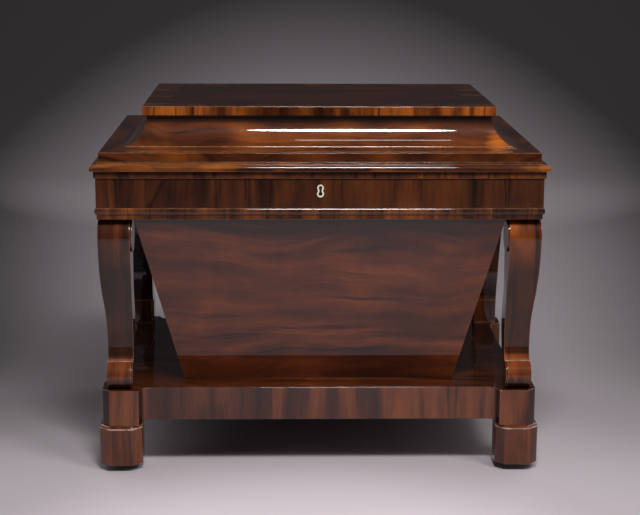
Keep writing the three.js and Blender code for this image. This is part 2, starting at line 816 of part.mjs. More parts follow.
function addPlatform() {
  const outer = fromPlan(new THREE.Shape(fourfold(platformQuarter())), postBottom, platformTop);
  const postX = halfWidth - postInset - postWidth;
  const postY = halfDepth - postInset - postWidth;
  const under = postBottom - overrun;
  const alongX = board(-halfWidth - overrun, halfWidth + overrun, -postY, postY, under, apronBottom);
  const alongY = board(-postX, postX, -halfDepth - overrun, halfDepth + overrun, under, apronBottom);
  addPart(cellarette, "platform", carved(outer, alongX, alongY), rosewood);
}

// Feet

function cantedSquare(half, cant) {
  return fourfold([new THREE.Vector2(half, half - cant), new THREE.Vector2(half - cant, half)]);
}

function footRings() {
  const half = footWidth / 2;
  const capInset = footProud + postInset;
  const cantShrink = 2 - Math.SQRT2;
  const ringAt = (z, inset) => ({ z, points: cantedSquare(half - inset, footCant - cantShrink * inset) });
  const rings = [ringAt(footClearance, easedEdge), ringAt(footClearance + easedEdge, 0)];
  for (let step = 0; step <= capSteps; step++) {
    const angle = (step / capSteps) * (Math.PI / 2);
    rings.push(ringAt(footTop + footCapRise * Math.sin(angle), capInset * (1 - Math.cos(angle))));
  }
  return rings;
}

const recessTop = footClearance + casterRecessDepth;
const crownTop = recessTop - fitGap;
const crownBottom = crownTop - crownThickness;
const axleHeight = wheelRadius * Math.cos(Math.PI / wheelSteps);

function footBlock() {
  const recess = uprightCylinder(casterRecessRadius, footClearance - overrun, recessTop, 2 * rollSteps);
  const socket = uprightCylinder(
    stemRadius + fitGap, recessTop - overrun, crownTop + stemLength + fitGap);
  return carved(stacked(footRings()), recess, socket);
}

function casterFork() {
  const crown = uprightCylinder(crownRadius, crownBottom, crownTop);
  const stem = uprightCylinder(stemRadius, crownTop - joinLap, crownTop + stemLength);
  const cheekInner = wheelWidth / 2 + wheelSideGap;
  const cheekOuter = cheekInner + cheekThickness;
  const cheek = new THREE.Shape();
  cheek.moveTo(-cheekHalfDepth, crownBottom + joinLap);
  cheek.lineTo(casterTrail - cheekEndRadius, axleHeight);
  cheek.absarc(casterTrail, axleHeight, cheekEndRadius, Math.PI, 2 * Math.PI, false);
  cheek.lineTo(casterTrail + cheekEndRadius, crownBottom + joinLap);
  const cheeks = [
    facingSide(cheek, cheekInner, cheekOuter),
    facingSide(cheek, -cheekOuter, -cheekInner),
  ];
  const axle = levelCylinder(axleRadius, -cheekOuter, cheekOuter, casterTrail, axleHeight);
  return joined(crown, stem, ...cheeks, axle);
}

function casterWheel() {
  const half = wheelWidth / 2;
  const bore = axleRadius + fitGap;
  const profile = [
    new THREE.Vector2(bore, -half),
    new THREE.Vector2(wheelRadius - treadRound, -half),
    new THREE.Vector2(wheelRadius, -half + treadRound),
    new THREE.Vector2(wheelRadius, half - treadRound),
    new THREE.Vector2(wheelRadius - treadRound, half),
    new THREE.Vector2(bore, half),
    new THREE.Vector2(bore, -half),
  ];
  const wheel = new THREE.LatheGeometry(profile, wheelSteps, Math.PI / wheelSteps);
  return wheel.rotateZ(Math.PI / 2).translate(0, casterTrail, axleHeight);
}

function addFeet() {
  const footX = halfWidth + footProud - footWidth / 2;
  const footY = halfDepth + footProud - footWidth / 2;
  for (const [depthName, y] of [["front", -footY], ["back", footY]]) {
    for (const [sideName, x] of [["left", -footX], ["right", footX]]) {
      const corner = new THREE.Group();
      corner.position.set(x, y, 0);
      cellarette.add(corner);
      const place = depthName + "_" + sideName;
      addPart(corner, "foot_block_" + place, footBlock(), rosewood);
      addPart(corner, "caster_fork_" + place, casterFork(), iron);
      addPart(corner, "caster_wheel_" + place, casterWheel(), brass);
    }
  }
}

addLid();
addCase();
addWell();
addLegs();
addPlatform();
addFeet();

export default cellarette;
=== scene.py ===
import math
from math import radians

import bmesh
import bpy
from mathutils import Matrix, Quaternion, Vector


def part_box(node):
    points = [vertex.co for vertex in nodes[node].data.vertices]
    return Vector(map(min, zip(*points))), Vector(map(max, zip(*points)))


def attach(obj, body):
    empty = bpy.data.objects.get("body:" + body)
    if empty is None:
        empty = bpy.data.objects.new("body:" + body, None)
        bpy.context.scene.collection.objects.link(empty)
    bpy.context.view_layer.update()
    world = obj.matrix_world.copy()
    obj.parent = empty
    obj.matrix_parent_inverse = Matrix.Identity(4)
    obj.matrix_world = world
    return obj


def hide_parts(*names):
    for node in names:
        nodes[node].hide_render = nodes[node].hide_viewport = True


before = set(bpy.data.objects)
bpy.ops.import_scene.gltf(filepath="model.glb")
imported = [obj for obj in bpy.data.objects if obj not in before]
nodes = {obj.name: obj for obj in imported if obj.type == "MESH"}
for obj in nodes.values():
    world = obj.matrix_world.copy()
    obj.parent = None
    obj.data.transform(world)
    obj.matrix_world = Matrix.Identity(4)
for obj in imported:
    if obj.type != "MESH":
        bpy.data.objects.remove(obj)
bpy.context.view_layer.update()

# A sarcophagus cellarette in polished rosewood veneer. Metres, +Z up, the front faces -Y.

# Camera, from a fit to the edges and corners in the photograph: metres, degrees, and a lens in mm
CAMERA_PLACE = (-0.0724, -3.1537, 0.9879)
CAMERA_PITCH = 11.61
CAMERA_YAW = 1.44
CAMERA_ROLL = 0.24
CAMERA_LENS = 92.22
SENSOR_WIDTH = 36.0

# Sizes that the frame's boxes don't give
MITRE_GAP = 0.0002
ARRIS = 0.0011
FINE_ARRIS = 0.7 * ARRIS
SMALL_ARRIS = 0.6 * ARRIS
LID_LIP = 0.005
OVOLO_HEEL = 0.0012
FILLET_INSET = 0.0027
FILLET_HEIGHT = 0.0035
FASCIA_HEIGHT = 0.0161
COVE_LEDGE = 0.0224
COVE_QUIRK = 0.0011
COVE_QUIRK_LEAN = 0.3 * COVE_QUIRK
COVE_QUIRK_STEP = 10
SLAB_OVERHANG = 0.0077
SLAB_BORDER = 0.045
SHOULDER_INSET = 0.001
SHOULDER_HEIGHT = 0.0085
BEAD_BULGE = 0.004
WELL_FLARE = 0.082
WELL_WALL = 0.0186
POST_WIDTH = 0.0675
POST_CANT = 0.016
CANT_ARRIS = 0.004
APRON_RECESS = 0.0241
APRON_LIFT = 0.005
FOOT_CANT = 0.018
FOOT_CAP_RISE = 0.0055
FOOT_CAP_INSET = 0.0057
CASTER_RECESS_RADIUS = 0.024
CASTER_RECESS_DEPTH = 0.022

# Legs: depth is measured back from the leg's front, and height up from its foot
LEG_WIDTH = 0.0574
LEG_WAIST_INSET = 0.0112
UPPER_ROLL = 0.034
UPPER_ROLL_LEAVE = 12
LOWER_ROLL = 0.0255
LOWER_ROLL_ARRIS = 79
LOWER_ROLL_RECESS = 0.003
LOWER_ROLL_LIP = 0.001
NECK = (0.037, 0.096)
SCOOP_HEIGHT = 0.076
SCOOP_LEAN = 28
FRONT_PULL = 0.070
NECK_PULL = 0.050
SHAFT_TOP_DEPTH = 0.068
SHAFT_TOP_SHARE = 0.864
SHAFT_WAIST_DEPTH = 0.064
SHAFT_WAIST_SHARE = 0.611
SHAFT_HEEL_DEPTH = 0.083
SHAFT_HEEL_SHARE = 0.348
SHAFT_FOOT_DEPTH = 0.066
SHAFT_PULL_SHARE = 0.1076
WAIST_START_SHARE = 0.22
WAIST_END_SHARE = 0.78
UPPER_DISC_MARGIN = 0.0037
LOWER_DISC_MARGIN = 0.0022
DISC_EDGE = 0.0012
ROLL_HIGHLIGHT_RISE = 0.0505

# Screws: their margins are measured in from the ends of the plates
SCREW_RADIUS = 0.0028
SCREW_SLOT = 0.0006
SCREW_RISE = 0.00008
SCREW_SEAT = 0.0003
SCREW_TURN = 17
SCREW_TURN_STEP = 53
HINGE_SCREW_SETBACK = 0.0094
HINGE_SCREW_MARGIN = 0.010
LOCK_SCREW_MARGIN = 0.0032
LINK_SCREW_MARGIN = 0.0055

# Painted highlights: pale lines in the polish, only on what stands close to the front or the back
HIGHLIGHT_LINE_DEPTH = 0.0391
HIGHLIGHT_LINE_FADE = 0.002
ROLL_HIGHLIGHT_REACH = 0.0004
FOOT_HIGHLIGHT_RISE = 0.0003
FOOT_HIGHLIGHT_REACH = 0.0017

# How many steps the curves are drawn in
EASE_STEPS = 3
OVOLO_STEPS = 18
HOLLOW_STEPS = 40
BEAD_STEPS = 26
UPPER_ROLL_STEPS = 26
LOWER_ROLL_STEPS = 30
SHAFT_STEPS = 28
SCOOP_STEPS = 12
LEG_BACK_STEPS = 24
LEG_WAIST_STEPS = 24
DISC_STEPS = 64
DISC_EDGE_STEPS = 4
RECESS_STEPS = 14
FOOT_CAP_STEPS = 12
SCREW_STEPS = 20
FLOOR_STEPS = 16

# Lamps
SOFT_BOXES = {
    "front_soft_box": dict(
        place=(0.165, -1.86, 2.50), target=(0.07, -0.25, 0.6), width=0.70, height=0.38, watts=56,
        shape="ELLIPSE"),
    "right_soft_box": dict(
        place=(1.5, -1.7, 2.3), target=(0.0, 0.0, 0.3), width=0.8, height=0.8, watts=34),
    "top_strip": dict(
        place=(0.24, -0.25, 3.10), target=(0.24, -0.10, 0.6), width=0.52, height=0.12, watts=2),
    "low_soft_box": dict(
        place=(2.6, -0.3, 0.7), target=(0.2, 0.0, 0.3), width=1.2, height=1.0, watts=5),
    "back_soft_box_left": dict(
        place=(-1.9, 1.7, 1.9), target=(0.0, 0.1, 0.35), width=2.2, height=2.2, watts=22),
    "back_soft_box_right": dict(
        place=(1.9, 1.7, 1.9), target=(0.0, 0.1, 0.35), width=2.2, height=2.2, watts=22),
    "left_soft_box": dict(
        place=(-2.4, -1.2, 1.0), target=(-0.2, 0.0, 0.3), width=0.9, height=0.9, watts=4),
}
WORLD_COLOUR = (0.9, 0.93, 1.0, 1)
WORLD_STRENGTH = 0.09

# Floor and backdrop
FLOOR_HALF_WIDTH = 9.0
FLOOR_FRONT = -8.0
FLOOR_BACK = 3.2
FLOOR_BEND = 1.6
BACKDROP_HEIGHT = 6.0

# Their paper: a painted pool of light whose stops are (share of its reach, brightness), and a painted glow
# further back
PAPER_TINT = (1.0, 0.885, 0.942)
POOL_MIDDLE = (-0.05, -0.75, 0.0)
POOL_REACH = 6.0
POOL_STOPS = (
    (0.04, 0.66), (0.10, 0.43), (0.18, 0.30), (0.24, 0.285), (0.60, 0.285), (0.78, 0.11), (0.94, 0.10))
GLOW_MIDDLE = (0.1, 3.3, 0.0)
GLOW_REACH = (0.8, 1.4)
GLOW_COLOUR = (0.47, 0.42, 0.44)

# A painted lane behind the object stays bright and gets wider with distance, and the paper beside it is
# painted dimmer
LANE_X = 0.10
LANE_GROWTH = 0.17
LANE_EDGE = (0.24, 0.84)
LANE_START = (-0.3, 0.6)
LANE_END = (2.8, 3.9)
LANE_DIM = 0.78

SIDES = ("front", "right", "back", "left")
case_half_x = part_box("frieze_right")[1].x
case_half_y = -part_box("frieze_front")[0].y
leg_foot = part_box("leg_front_left")[0].z
highlight_line_from = -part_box("leg_front_left")[0].y - HIGHLIGHT_LINE_DEPTH
foot_cap_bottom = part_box("foot_block_front_left")[1].z - FOOT_CAP_RISE


# Camera, lights and floor

def add_camera():
    camera = bpy.data.objects.new("camera", bpy.data.cameras.new("camera"))
    camera.data.lens = CAMERA_LENS
    camera.data.sensor_width = SENSOR_WIDTH
    yaw, pitch = radians(CAMERA_YAW), radians(CAMERA_PITCH)
    ahead = Vector((math.sin(yaw) * math.cos(pitch), math.cos(yaw) * math.cos(pitch), -math.sin(pitch)))
    camera.location = CAMERA_PLACE
    camera.rotation_mode = "QUATERNION"
    camera.rotation_quaternion = (
        ahead.to_track_quat("-Z", "Y") @ Quaternion((0, 0, 1), radians(CAMERA_ROLL)))
    bpy.context.scene.collection.objects.link(camera)
    bpy.context.scene.camera = camera


def add_soft_box(name, place, target, width, height, watts, shape="RECTANGLE"):
    lamp = bpy.data.lights.new(name, "AREA")
    lamp.shape = shape
    lamp.size = width
    lamp.size_y = height
    lamp.energy = watts
    obj = bpy.data.objects.new(name, lamp)
    obj.location = place
    obj.rotation_mode = "QUATERNION"
    obj.rotation_quaternion = (Vector(target) - Vector(place)).to_track_quat("-Z", "Y")
    bpy.context.scene.collection.objects.link(obj)


def add_lights():
    for name, values in SOFT_BOXES.items():
        add_soft_box(name, **values)
    world = bpy.data.worlds.new("studio")
    world.use_nodes = True
    background = world.node_tree.nodes["Background"]
    background.inputs["Color"].default_value = WORLD_COLOUR
    background.inputs["Strength"].default_value = WORLD_STRENGTH
    bpy.context.scene.world = world
    bpy.context.scene.view_settings.view_transform = "Standard"


def add_floor():
    """A pale floor that turns up into a backdrop, well behind the object."""
    bend = arc((FLOOR_BACK, FLOOR_BEND), (FLOOR_BEND, FLOOR_BEND), -90, 0, FLOOR_STEPS)
    section = [(FLOOR_FRONT, 0.0), *bend, (FLOOR_BACK + FLOOR_BEND, BACKDROP_HEIGHT)]
    points = [(side * FLOOR_HALF_WIDTH, y, z) for y, z in section for side in (-1, 1)]
    faces = [(2 * i, 2 * i + 1, 2 * i + 3, 2 * i + 2) for i in range(len(section) - 1)]
    mesh = bpy.data.meshes.new("floor")
    mesh.from_pydata(points, [], faces)
    mesh.shade_smooth()
    mesh.materials.append(floor_paper())
    obj = bpy.data.objects.new("floor", mesh)
    bpy.context.scene.collection.objects.link(obj)


# Shader nodes

class Shader:
    """The nodes of one material."""

    def __init__(self, name):
        self.material = bpy.data.materials.new(name)
        self.material.use_nodes = True
        self.tree = self.material.node_tree
        self.tree.nodes.clear()

    def feed(self, socket, value):
        if isinstance(value, bpy.types.NodeSocket):
            self.tree.links.new(value, socket)
        else:
            socket.default_value = value

    def add(self, kind, inputs=None, **settings):
        node = self.tree.nodes.new("ShaderNode" + kind)
        for key, value in settings.items():
            setattr(node, key, value)
        for key, value in (inputs or {}).items():
            self.feed(node.inputs[key], value)
        return node

    def math(self, operation, *values):
        node = self.add("Math", operation=operation)
        for socket, value in zip(node.inputs, values):
            self.feed(socket, value)
        return node.outputs[0]

    def vector(self, x, y, z=0.0):
        return self.add("CombineXYZ", {"X": x, "Y": y, "Z": z}).outputs[0]

    def stretched(self, across, along, across_scale, along_scale, seed=0.0):
        """A texture vector with its own scale each way."""
        return self.vector(
            self.math("MULTIPLY", across, across_scale), self.math("MULTIPLY", along, along_scale), seed)

    def noise(self, vector, scale=1.0, detail=2.0, roughness=0.5):
        inputs = {"Vector": vector, "Scale": scale, "Detail": detail, "Roughness": roughness}
        return self.add("TexNoise", inputs).outputs[0]

    def remap(self, value, low, high, to_low=0.0, to_high=1.0, **settings):
        inputs = {"Value": value, "From Min": low, "From Max": high, "To Min": to_low, "To Max": to_high}
        return self.add("MapRange", inputs, **settings).outputs[0]

    def ramp(self, value, stops, interpolation="B_SPLINE"):
        node = self.add("ValToRGB", {"Fac": value})
        node.color_ramp.interpolation = interpolation
        elements = node.color_ramp.elements
        while len(elements) < len(stops):
            elements.new(0.5)
        for element, (place, colour) in zip(elements, stops):
            element.position = place
            element.color = (*colour, 1)
        return node.outputs["Color"]

    def mix(self, amount, a, b, blend="MIX"):
        node = self.add("Mix", data_type="RGBA", blend_type=blend)
        for socket, value in ((node.inputs[0], amount), (node.inputs[6], a), (node.inputs[7], b)):
            self.feed(socket, (*value, 1) if isinstance(value, tuple) and len(value) == 3 else value)
        return node.outputs[2]

    def bump(self, height, strength, distance):
        inputs = {"Height": height, "Strength": strength, "Distance": distance}
        return self.add("Bump", inputs).outputs[0]

    def finish(self, **inputs):
        """Ends the material in a Principled shader with these inputs, spaces written as underscores."""
        named = {key.replace("_", " "): value for key, value in inputs.items()}
        shader = self.add("BsdfPrincipled", named)
        output = self.add("OutputMaterial")
        self.tree.links.new(shader.outputs[0], output.inputs["Surface"])
        return self.material


# Materials

ROSEWOOD = (
    (0.22, (0.010, 0.0028, 0.0012)),
    (0.40, (0.032, 0.0078, 0.0027)),
    (0.52, (0.069, 0.0168, 0.0050)),
    (0.64, (0.128, 0.0336, 0.0088)),
    (0.80, (0.256, 0.0760, 0.0160)),
)
# Dark streaks and veins of the figure, and painted shade
STREAK_AND_SHADE = (0.007, 0.0022, 0.0013)
EMBER = (0.44, 0.125, 0.016)
# Pale arrises: wearing of the polish and painted highlight
WORN_AND_HIGHLIGHT = (0.27, 0.135, 0.07)
# The colour of the painted highlight lines
PAINTED_HIGHLIGHT = (0.62, 0.42, 0.34)

# Sizes of small marks in the wood
RING_WAVER = 0.006
VEIN_WAVER = 0.02
SEAM_CORE = 0.0001
SEAM_REACH = 0.0006
SHAFT_FADE_LOW = 0.006
SHAFT_FADE_HIGH = 0.05
PORE_DEPTH = 0.00015
POLISH_DEPTH = 0.0006
PLAIN_SWAY = 0.03
PLAIN_PORE_DEPTH = 0.0002
PLAIN_SEED = 1.0


def rosewood(name, source="UV", leaf=0.17, mirrored=True, swirl=0.02, figure=26.0, contrast=0.25,
             ember=0.4, sweep=0.0, veins=(), shaft=None, flames=(), shades=(), highlight_line=None, rub_and_highlight=1.0,
             tint=(1.0, 1.0, 1.0), seed=1.0):
    """Rosewood veneer under french polish. The grain runs along V of the veneer map, or along the
    second axis of source. Leaves lie side by side across it, mirrored in pairs or in any order.
    A sweep is a broad figure with one hard side, a vein is a dark line (place, lean, half width)
    across the leaves, and a shaft is a height range where the colour is darker: on the legs' shafts,
    and as painted shade under the lid's slab. Flames are bright orange patches in the figure and
    shades are dark patches (centre, reach, amount), some of them dark figure, some painted shade.
    A painted highlight is a pale line (height, reach) in the polish, and one number sets how pale
    the arrises are painted, partly as wearing of the polish and partly as painted highlight."""
    s = Shader(name)
    space = s.add("TexCoord").outputs["Object"]
    in_space = s.add("SeparateXYZ", {"Vector": space})
    if source == "UV":
        place = s.add("SeparateXYZ", {"Vector": s.add("UVMap", uv_map="veneer").outputs[0]})
        across, along = place.outputs["X"], place.outputs["Y"]
    else:
        across, along = in_space.outputs[source[0]], in_space.outputs[source[1]]

    uneven = s.math("SUBTRACT", s.noise(s.stretched(across, seed, 1.3 / leaf, 1.0), detail=1.0), 0.5)
    seat = across if mirrored else s.math("ADD", across, s.math("MULTIPLY", uneven, leaf * 1.5))
    span = 2 * leaf if mirrored else leaf
    number = s.math("FLOOR", s.math("DIVIDE", seat, span))
    chance = s.add("TexWhiteNoise", {"W": s.math("ADD", number, seed)}, noise_dimensions="1D").outputs[0]
    inside = s.math("PINGPONG", seat, leaf)
    u = s.math("ADD", inside if mirrored else across, s.math("MULTIPLY", chance, 7.3))
    v = s.math("ADD", along, s.math("MULTIPLY", chance, 3.1))

    # The growth rings waver widely and then finely
    wide = s.math("SUBTRACT", s.noise(s.stretched(u, v, 5.0, 3.4, seed), detail=1.0), 0.5)
    fine = s.math("SUBTRACT", s.noise(s.stretched(u, v, 42.0, 13.0, seed), detail=2.0), 0.5)
    waver = s.math("ADD", s.math("MULTIPLY", wide, swirl * 4), s.math("MULTIPLY", fine, RING_WAVER))
    ring = s.math("ADD", u, waver)
    body = s.noise(s.stretched(ring, v, figure, 1.7, seed), detail=5.0, roughness=0.62)
    body = s.math("ADD", body, s.math("MULTIPLY", s.math("SUBTRACT", chance, 0.5), contrast))
    colour = s.ramp(body, ROSEWOOD)

    warm = s.noise(s.stretched(ring, v, figure * 0.36, 6.0, seed + 9.0), detail=3.0)
    colour = s.mix(s.remap(warm, 0.50, 0.78, 0.0, ember), colour, EMBER)
    streak = s.noise(s.stretched(ring, v, figure * 2.9, 2.2, seed + 4.0), detail=4.0, roughness=0.6)
    ragged = s.math("MULTIPLY", s.math("SUBTRACT", s.math("ADD", warm, streak), 1.0), 2.5)
    patches = [(EMBER, *flame) for flame in flames] + [(STREAK_AND_SHADE, *shade) for shade in shades]
    for patch_colour, centre, reach, amount in patches:
        off = s.add("VectorMath", {0: space, 1: centre}, operation="SUBTRACT").outputs[0]
        off = s.add("VectorMath", {0: off, 1: reach}, operation="DIVIDE").outputs[0]
        off = s.add("VectorMath", {0: off}, operation="LENGTH").outputs["Value"]
        near = s.remap(s.math("SUBTRACT", off, ragged), 0.4, 1.1, amount, 0.0)
        colour = s.mix(near, colour, patch_colour)
    if sweep:
        flow = s.noise(s.stretched(ring, v, 3.2, 2.1, seed + 2.0), detail=2.0, roughness=0.4)
        tooth = s.math("FRACT", s.math("MULTIPLY", flow, 5.0))
        colour = s.mix(s.remap(tooth, 0.0, 0.75, sweep, 0.0), colour, STREAK_AND_SHADE)
    colour = s.mix(s.remap(streak, 0.56, 0.68, 0.0, 0.85), colour, STREAK_AND_SHADE)
    for centre, lean, half_width in veins:
        line = s.math("SUBTRACT", s.math("ADD", across, s.math("MULTIPLY", fine, VEIN_WAVER)), centre)
        off = s.math("ABSOLUTE", s.math("SUBTRACT", line, s.math("MULTIPLY", along, lean)))
        colour = s.mix(s.remap(off, 0.0, half_width, 0.8, 0.0), colour, STREAK_AND_SHADE)
    pores = s.remap(s.noise(s.stretched(u, v, 1500.0, 42.0, seed), detail=2.0), 0.56, 0.70)
    colour = s.mix(s.math("MULTIPLY", pores, 0.45), colour, STREAK_AND_SHADE)
    edge = s.math("MINIMUM", inside, s.math("SUBTRACT", leaf, inside))
    colour = s.mix(s.remap(edge, SEAM_CORE, SEAM_REACH, 0.6, 0.0), colour, STREAK_AND_SHADE)
    if shaft:
        bottom, top, amount = shaft
        above = s.remap(in_space.outputs["Z"], bottom, bottom + SHAFT_FADE_LOW)
        below = s.remap(in_space.outputs["Z"], top - SHAFT_FADE_HIGH, top, 1.0, 0.0)
        colour = s.mix(s.math("MULTIPLY", s.math("MULTIPLY", above, below), amount), colour, STREAK_AND_SHADE)
    colour = s.mix(1.0, colour, tint, "MULTIPLY")

    # The arrises are painted pale, in patches: partly wearing of the polish, partly painted highlight
    pale_arris = s.remap(s.noise(space, scale=70.0, detail=3.0), 0.42, 0.7, 0.3 * rub_and_highlight, 0.9 * rub_and_highlight)
    pale_edges = s.math("MULTIPLY", s.add("Attribute", attribute_name="wear_and_highlight").outputs["Fac"], pale_arris)
    colour = s.mix(pale_edges, colour, WORN_AND_HIGHLIGHT)
    # A painted highlight: a pale line along an arris, near the front and the back only
    if highlight_line:
        height, reach = highlight_line
        level = s.math("ABSOLUTE", s.math("SUBTRACT", in_space.outputs["Z"], height))
        out = s.remap(s.math("ABSOLUTE", in_space.outputs["Y"]), highlight_line_from - HIGHLIGHT_LINE_FADE, highlight_line_from)
        spotty = s.remap(s.noise(space, scale=90.0, detail=1.0), 0.42, 0.60, 0.30, 0.75)
        line = s.math("MULTIPLY", s.remap(level, 0.25 * reach, reach, 1.0, 0.0), out)
        colour = s.mix(s.math("MULTIPLY", line, spotty), colour, PAINTED_HIGHLIGHT)

    polish = s.noise(space, scale=14.0, detail=1.0)
    return s.finish(
        Base_Color=colour,
        Roughness=s.remap(pores, 0.0, 1.0, 0.36, 0.6),
        Specular_IOR_Level=0.04,
        Normal=s.bump(pores, -0.2, PORE_DEPTH),
        Coat_Weight=1.0,
        Coat_Roughness=0.02,
        Coat_Normal=s.bump(polish, 0.15, POLISH_DEPTH))


def plain_wood(name, source, light, dark):
    """Plain straight-grained wood with a thin polish."""
    s = Shader(name)
    place = s.add("SeparateXYZ", {"Vector": s.add("TexCoord").outputs["Object"]})
    across, along = place.outputs[source[0]], place.outputs[source[1]]
    sway = s.math("MULTIPLY", s.noise(s.stretched(across, along, 9.0, 2.5, PLAIN_SEED)), PLAIN_SWAY)
    ring = s.math("ADD", across, sway)
    body = s.noise(s.stretched(ring, along, 120.0, 4.0, PLAIN_SEED), detail=4.0, roughness=0.6)
    pores = s.noise(s.stretched(ring, along, 1900.0, 60.0, PLAIN_SEED), detail=2.0)
    pores = s.remap(pores, 0.55, 0.7)
    colour = s.mix(s.remap(body, 0.3, 0.7), dark, light)
    colour = s.mix(s.math("MULTIPLY", pores, 0.4), colour, tuple(0.35 * c for c in dark))
    return s.finish(
        Base_Color=colour,
        Roughness=s.remap(body, 0.3, 0.7, 0.55, 0.42),
        Normal=s.bump(pores, -0.3, PLAIN_PORE_DEPTH))


def old_metal(name, colour, stain, roughness, grain=60.0, relief=0.0001):
    """Metal with a dull and uneven face."""
    s = Shader(name)
    space = s.add("TexCoord").outputs["Object"]
    cloud = s.noise(space, scale=grain, detail=5.0, roughness=0.65)
    speck = s.noise(space, scale=grain * 14, detail=2.0)
    mixed = s.mix(s.remap(cloud, 0.38, 0.66), colour, stain)
    return s.finish(
        Base_Color=mixed,
        Metallic=1.0,
        Roughness=s.remap(cloud, 0.3, 0.7, roughness, roughness + 0.22),
        Normal=s.bump(speck, 0.3, relief))


def inlaid_bone():
    s = Shader("inlaid_bone")
    space = s.add("TexCoord").outputs["Object"]
    cloud = s.noise(space, scale=90.0, detail=3.0)
    fibre = s.noise(s.add("Mapping", {"Vector": space, "Scale": (900.0, 900.0, 120.0)}).outputs[0])
    colour = s.mix(s.remap(cloud, 0.35, 0.7), (0.86, 0.82, 0.72), (0.70, 0.61, 0.46))
    colour = s.mix(s.remap(fibre, 0.62, 0.74, 0.0, 0.5), colour, (0.34, 0.25, 0.15))
    return s.finish(Base_Color=colour, Roughness=0.42, Coat_Weight=0.8, Coat_Roughness=0.08)


def floor_paper():
    """Painted light: pale round the object, dimmer with distance and to both sides, with a painted glow low
    on the backdrop.
    """
    s = Shader("floor_paper")
    space = s.add("TexCoord").outputs["Object"]
    place = s.add("SeparateXYZ", {"Vector": space}).outputs
    away = s.add("VectorMath", {0: space, 1: POOL_MIDDLE}, operation="DISTANCE").outputs["Value"]
    glow = s.add("VectorMath", {0: space, 1: GLOW_MIDDLE}, operation="DISTANCE").outputs["Value"]
    stops = [(stop, tuple(value * tint for tint in PAPER_TINT)) for stop, value in POOL_STOPS]
    colour = s.ramp(s.remap(away, 0.0, POOL_REACH), stops, "EASE")

    aside = s.math("ABSOLUTE", s.math("SUBTRACT", place["X"], LANE_X))
    aside = s.math("SUBTRACT", aside, s.math("MULTIPLY", place["Y"], LANE_GROWTH))
    soft = dict(interpolation_type="SMOOTHSTEP")
    dim = s.remap(aside, *LANE_EDGE, 0.0, LANE_DIM, **soft)
    dim = s.math("MULTIPLY", dim, s.remap(place["Y"], *LANE_START, **soft))
    dim = s.math("MULTIPLY", dim, s.remap(place["Y"], *LANE_END, 1.0, 0.0, **soft))
    colour = s.mix(dim, colour, (0.0, 0.0, 0.0))
    colour = s.mix(s.remap(glow, *GLOW_REACH, 1.0, 0.0), colour, GLOW_COLOUR)
    grain = s.noise(space, scale=3.0, detail=3.0)
    colour = s.mix(1.0, colour, s.mix(grain, (0.96, 0.96, 0.96), (1.0, 1.0, 1.0)), "MULTIPLY")
    return s.finish(Base_Color=colour, Roughness=0.8, Specular_IOR_Level=0.15)


def patch(node, shares, reach, amount):
    """A patch of figure or of painted shade, whose centre is given in shares of a node's box."""
    low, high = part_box(node)
    return tuple(a + (b - a) * share for a, b, share in zip(low, high, shares)), reach, amount


def shaft_of(node, low_share, high_share, amount):
    """A height range, given in shares of a node's height, and how much darker the colour is made there."""
    low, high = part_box(node)
    return low.z + (high.z - low.z) * low_share, low.z + (high.z - low.z) * high_share, amount


# What several veneers have in common. A leaf wider than the object shows no seam.
ONE_LEAF = dict(leaf=3.0, contrast=0.0)
CROSSBAND = dict(leaf=0.060, mirrored=False, swirl=0.004, figure=34.0, seed=3.0)
FRIEZE = dict(
    leaf=0.155, swirl=0.012, figure=20.0, contrast=0.12, ember=0.2, tint=(0.76, 0.76, 0.76), seed=5.0)
COVE = dict(**ONE_LEAF, swirl=0.05, figure=14.0, sweep=0.35, tint=(1.0, 0.9, 0.8), seed=13.0)
# The legs have a painted highlight line along the lower roll's arris
LEG = dict(**ONE_LEAF, swirl=0.01, figure=28.0, highlight_line=(leg_foot + ROLL_HIGHLIGHT_RISE, ROLL_HIGHLIGHT_REACH))
PLINTH = dict(
    leaf=0.11, swirl=0.012, figure=26.0, contrast=0.2, ember=0.3, rub_and_highlight=0.35, tint=(1.1, 1.03, 1.05),
    seed=29.0)

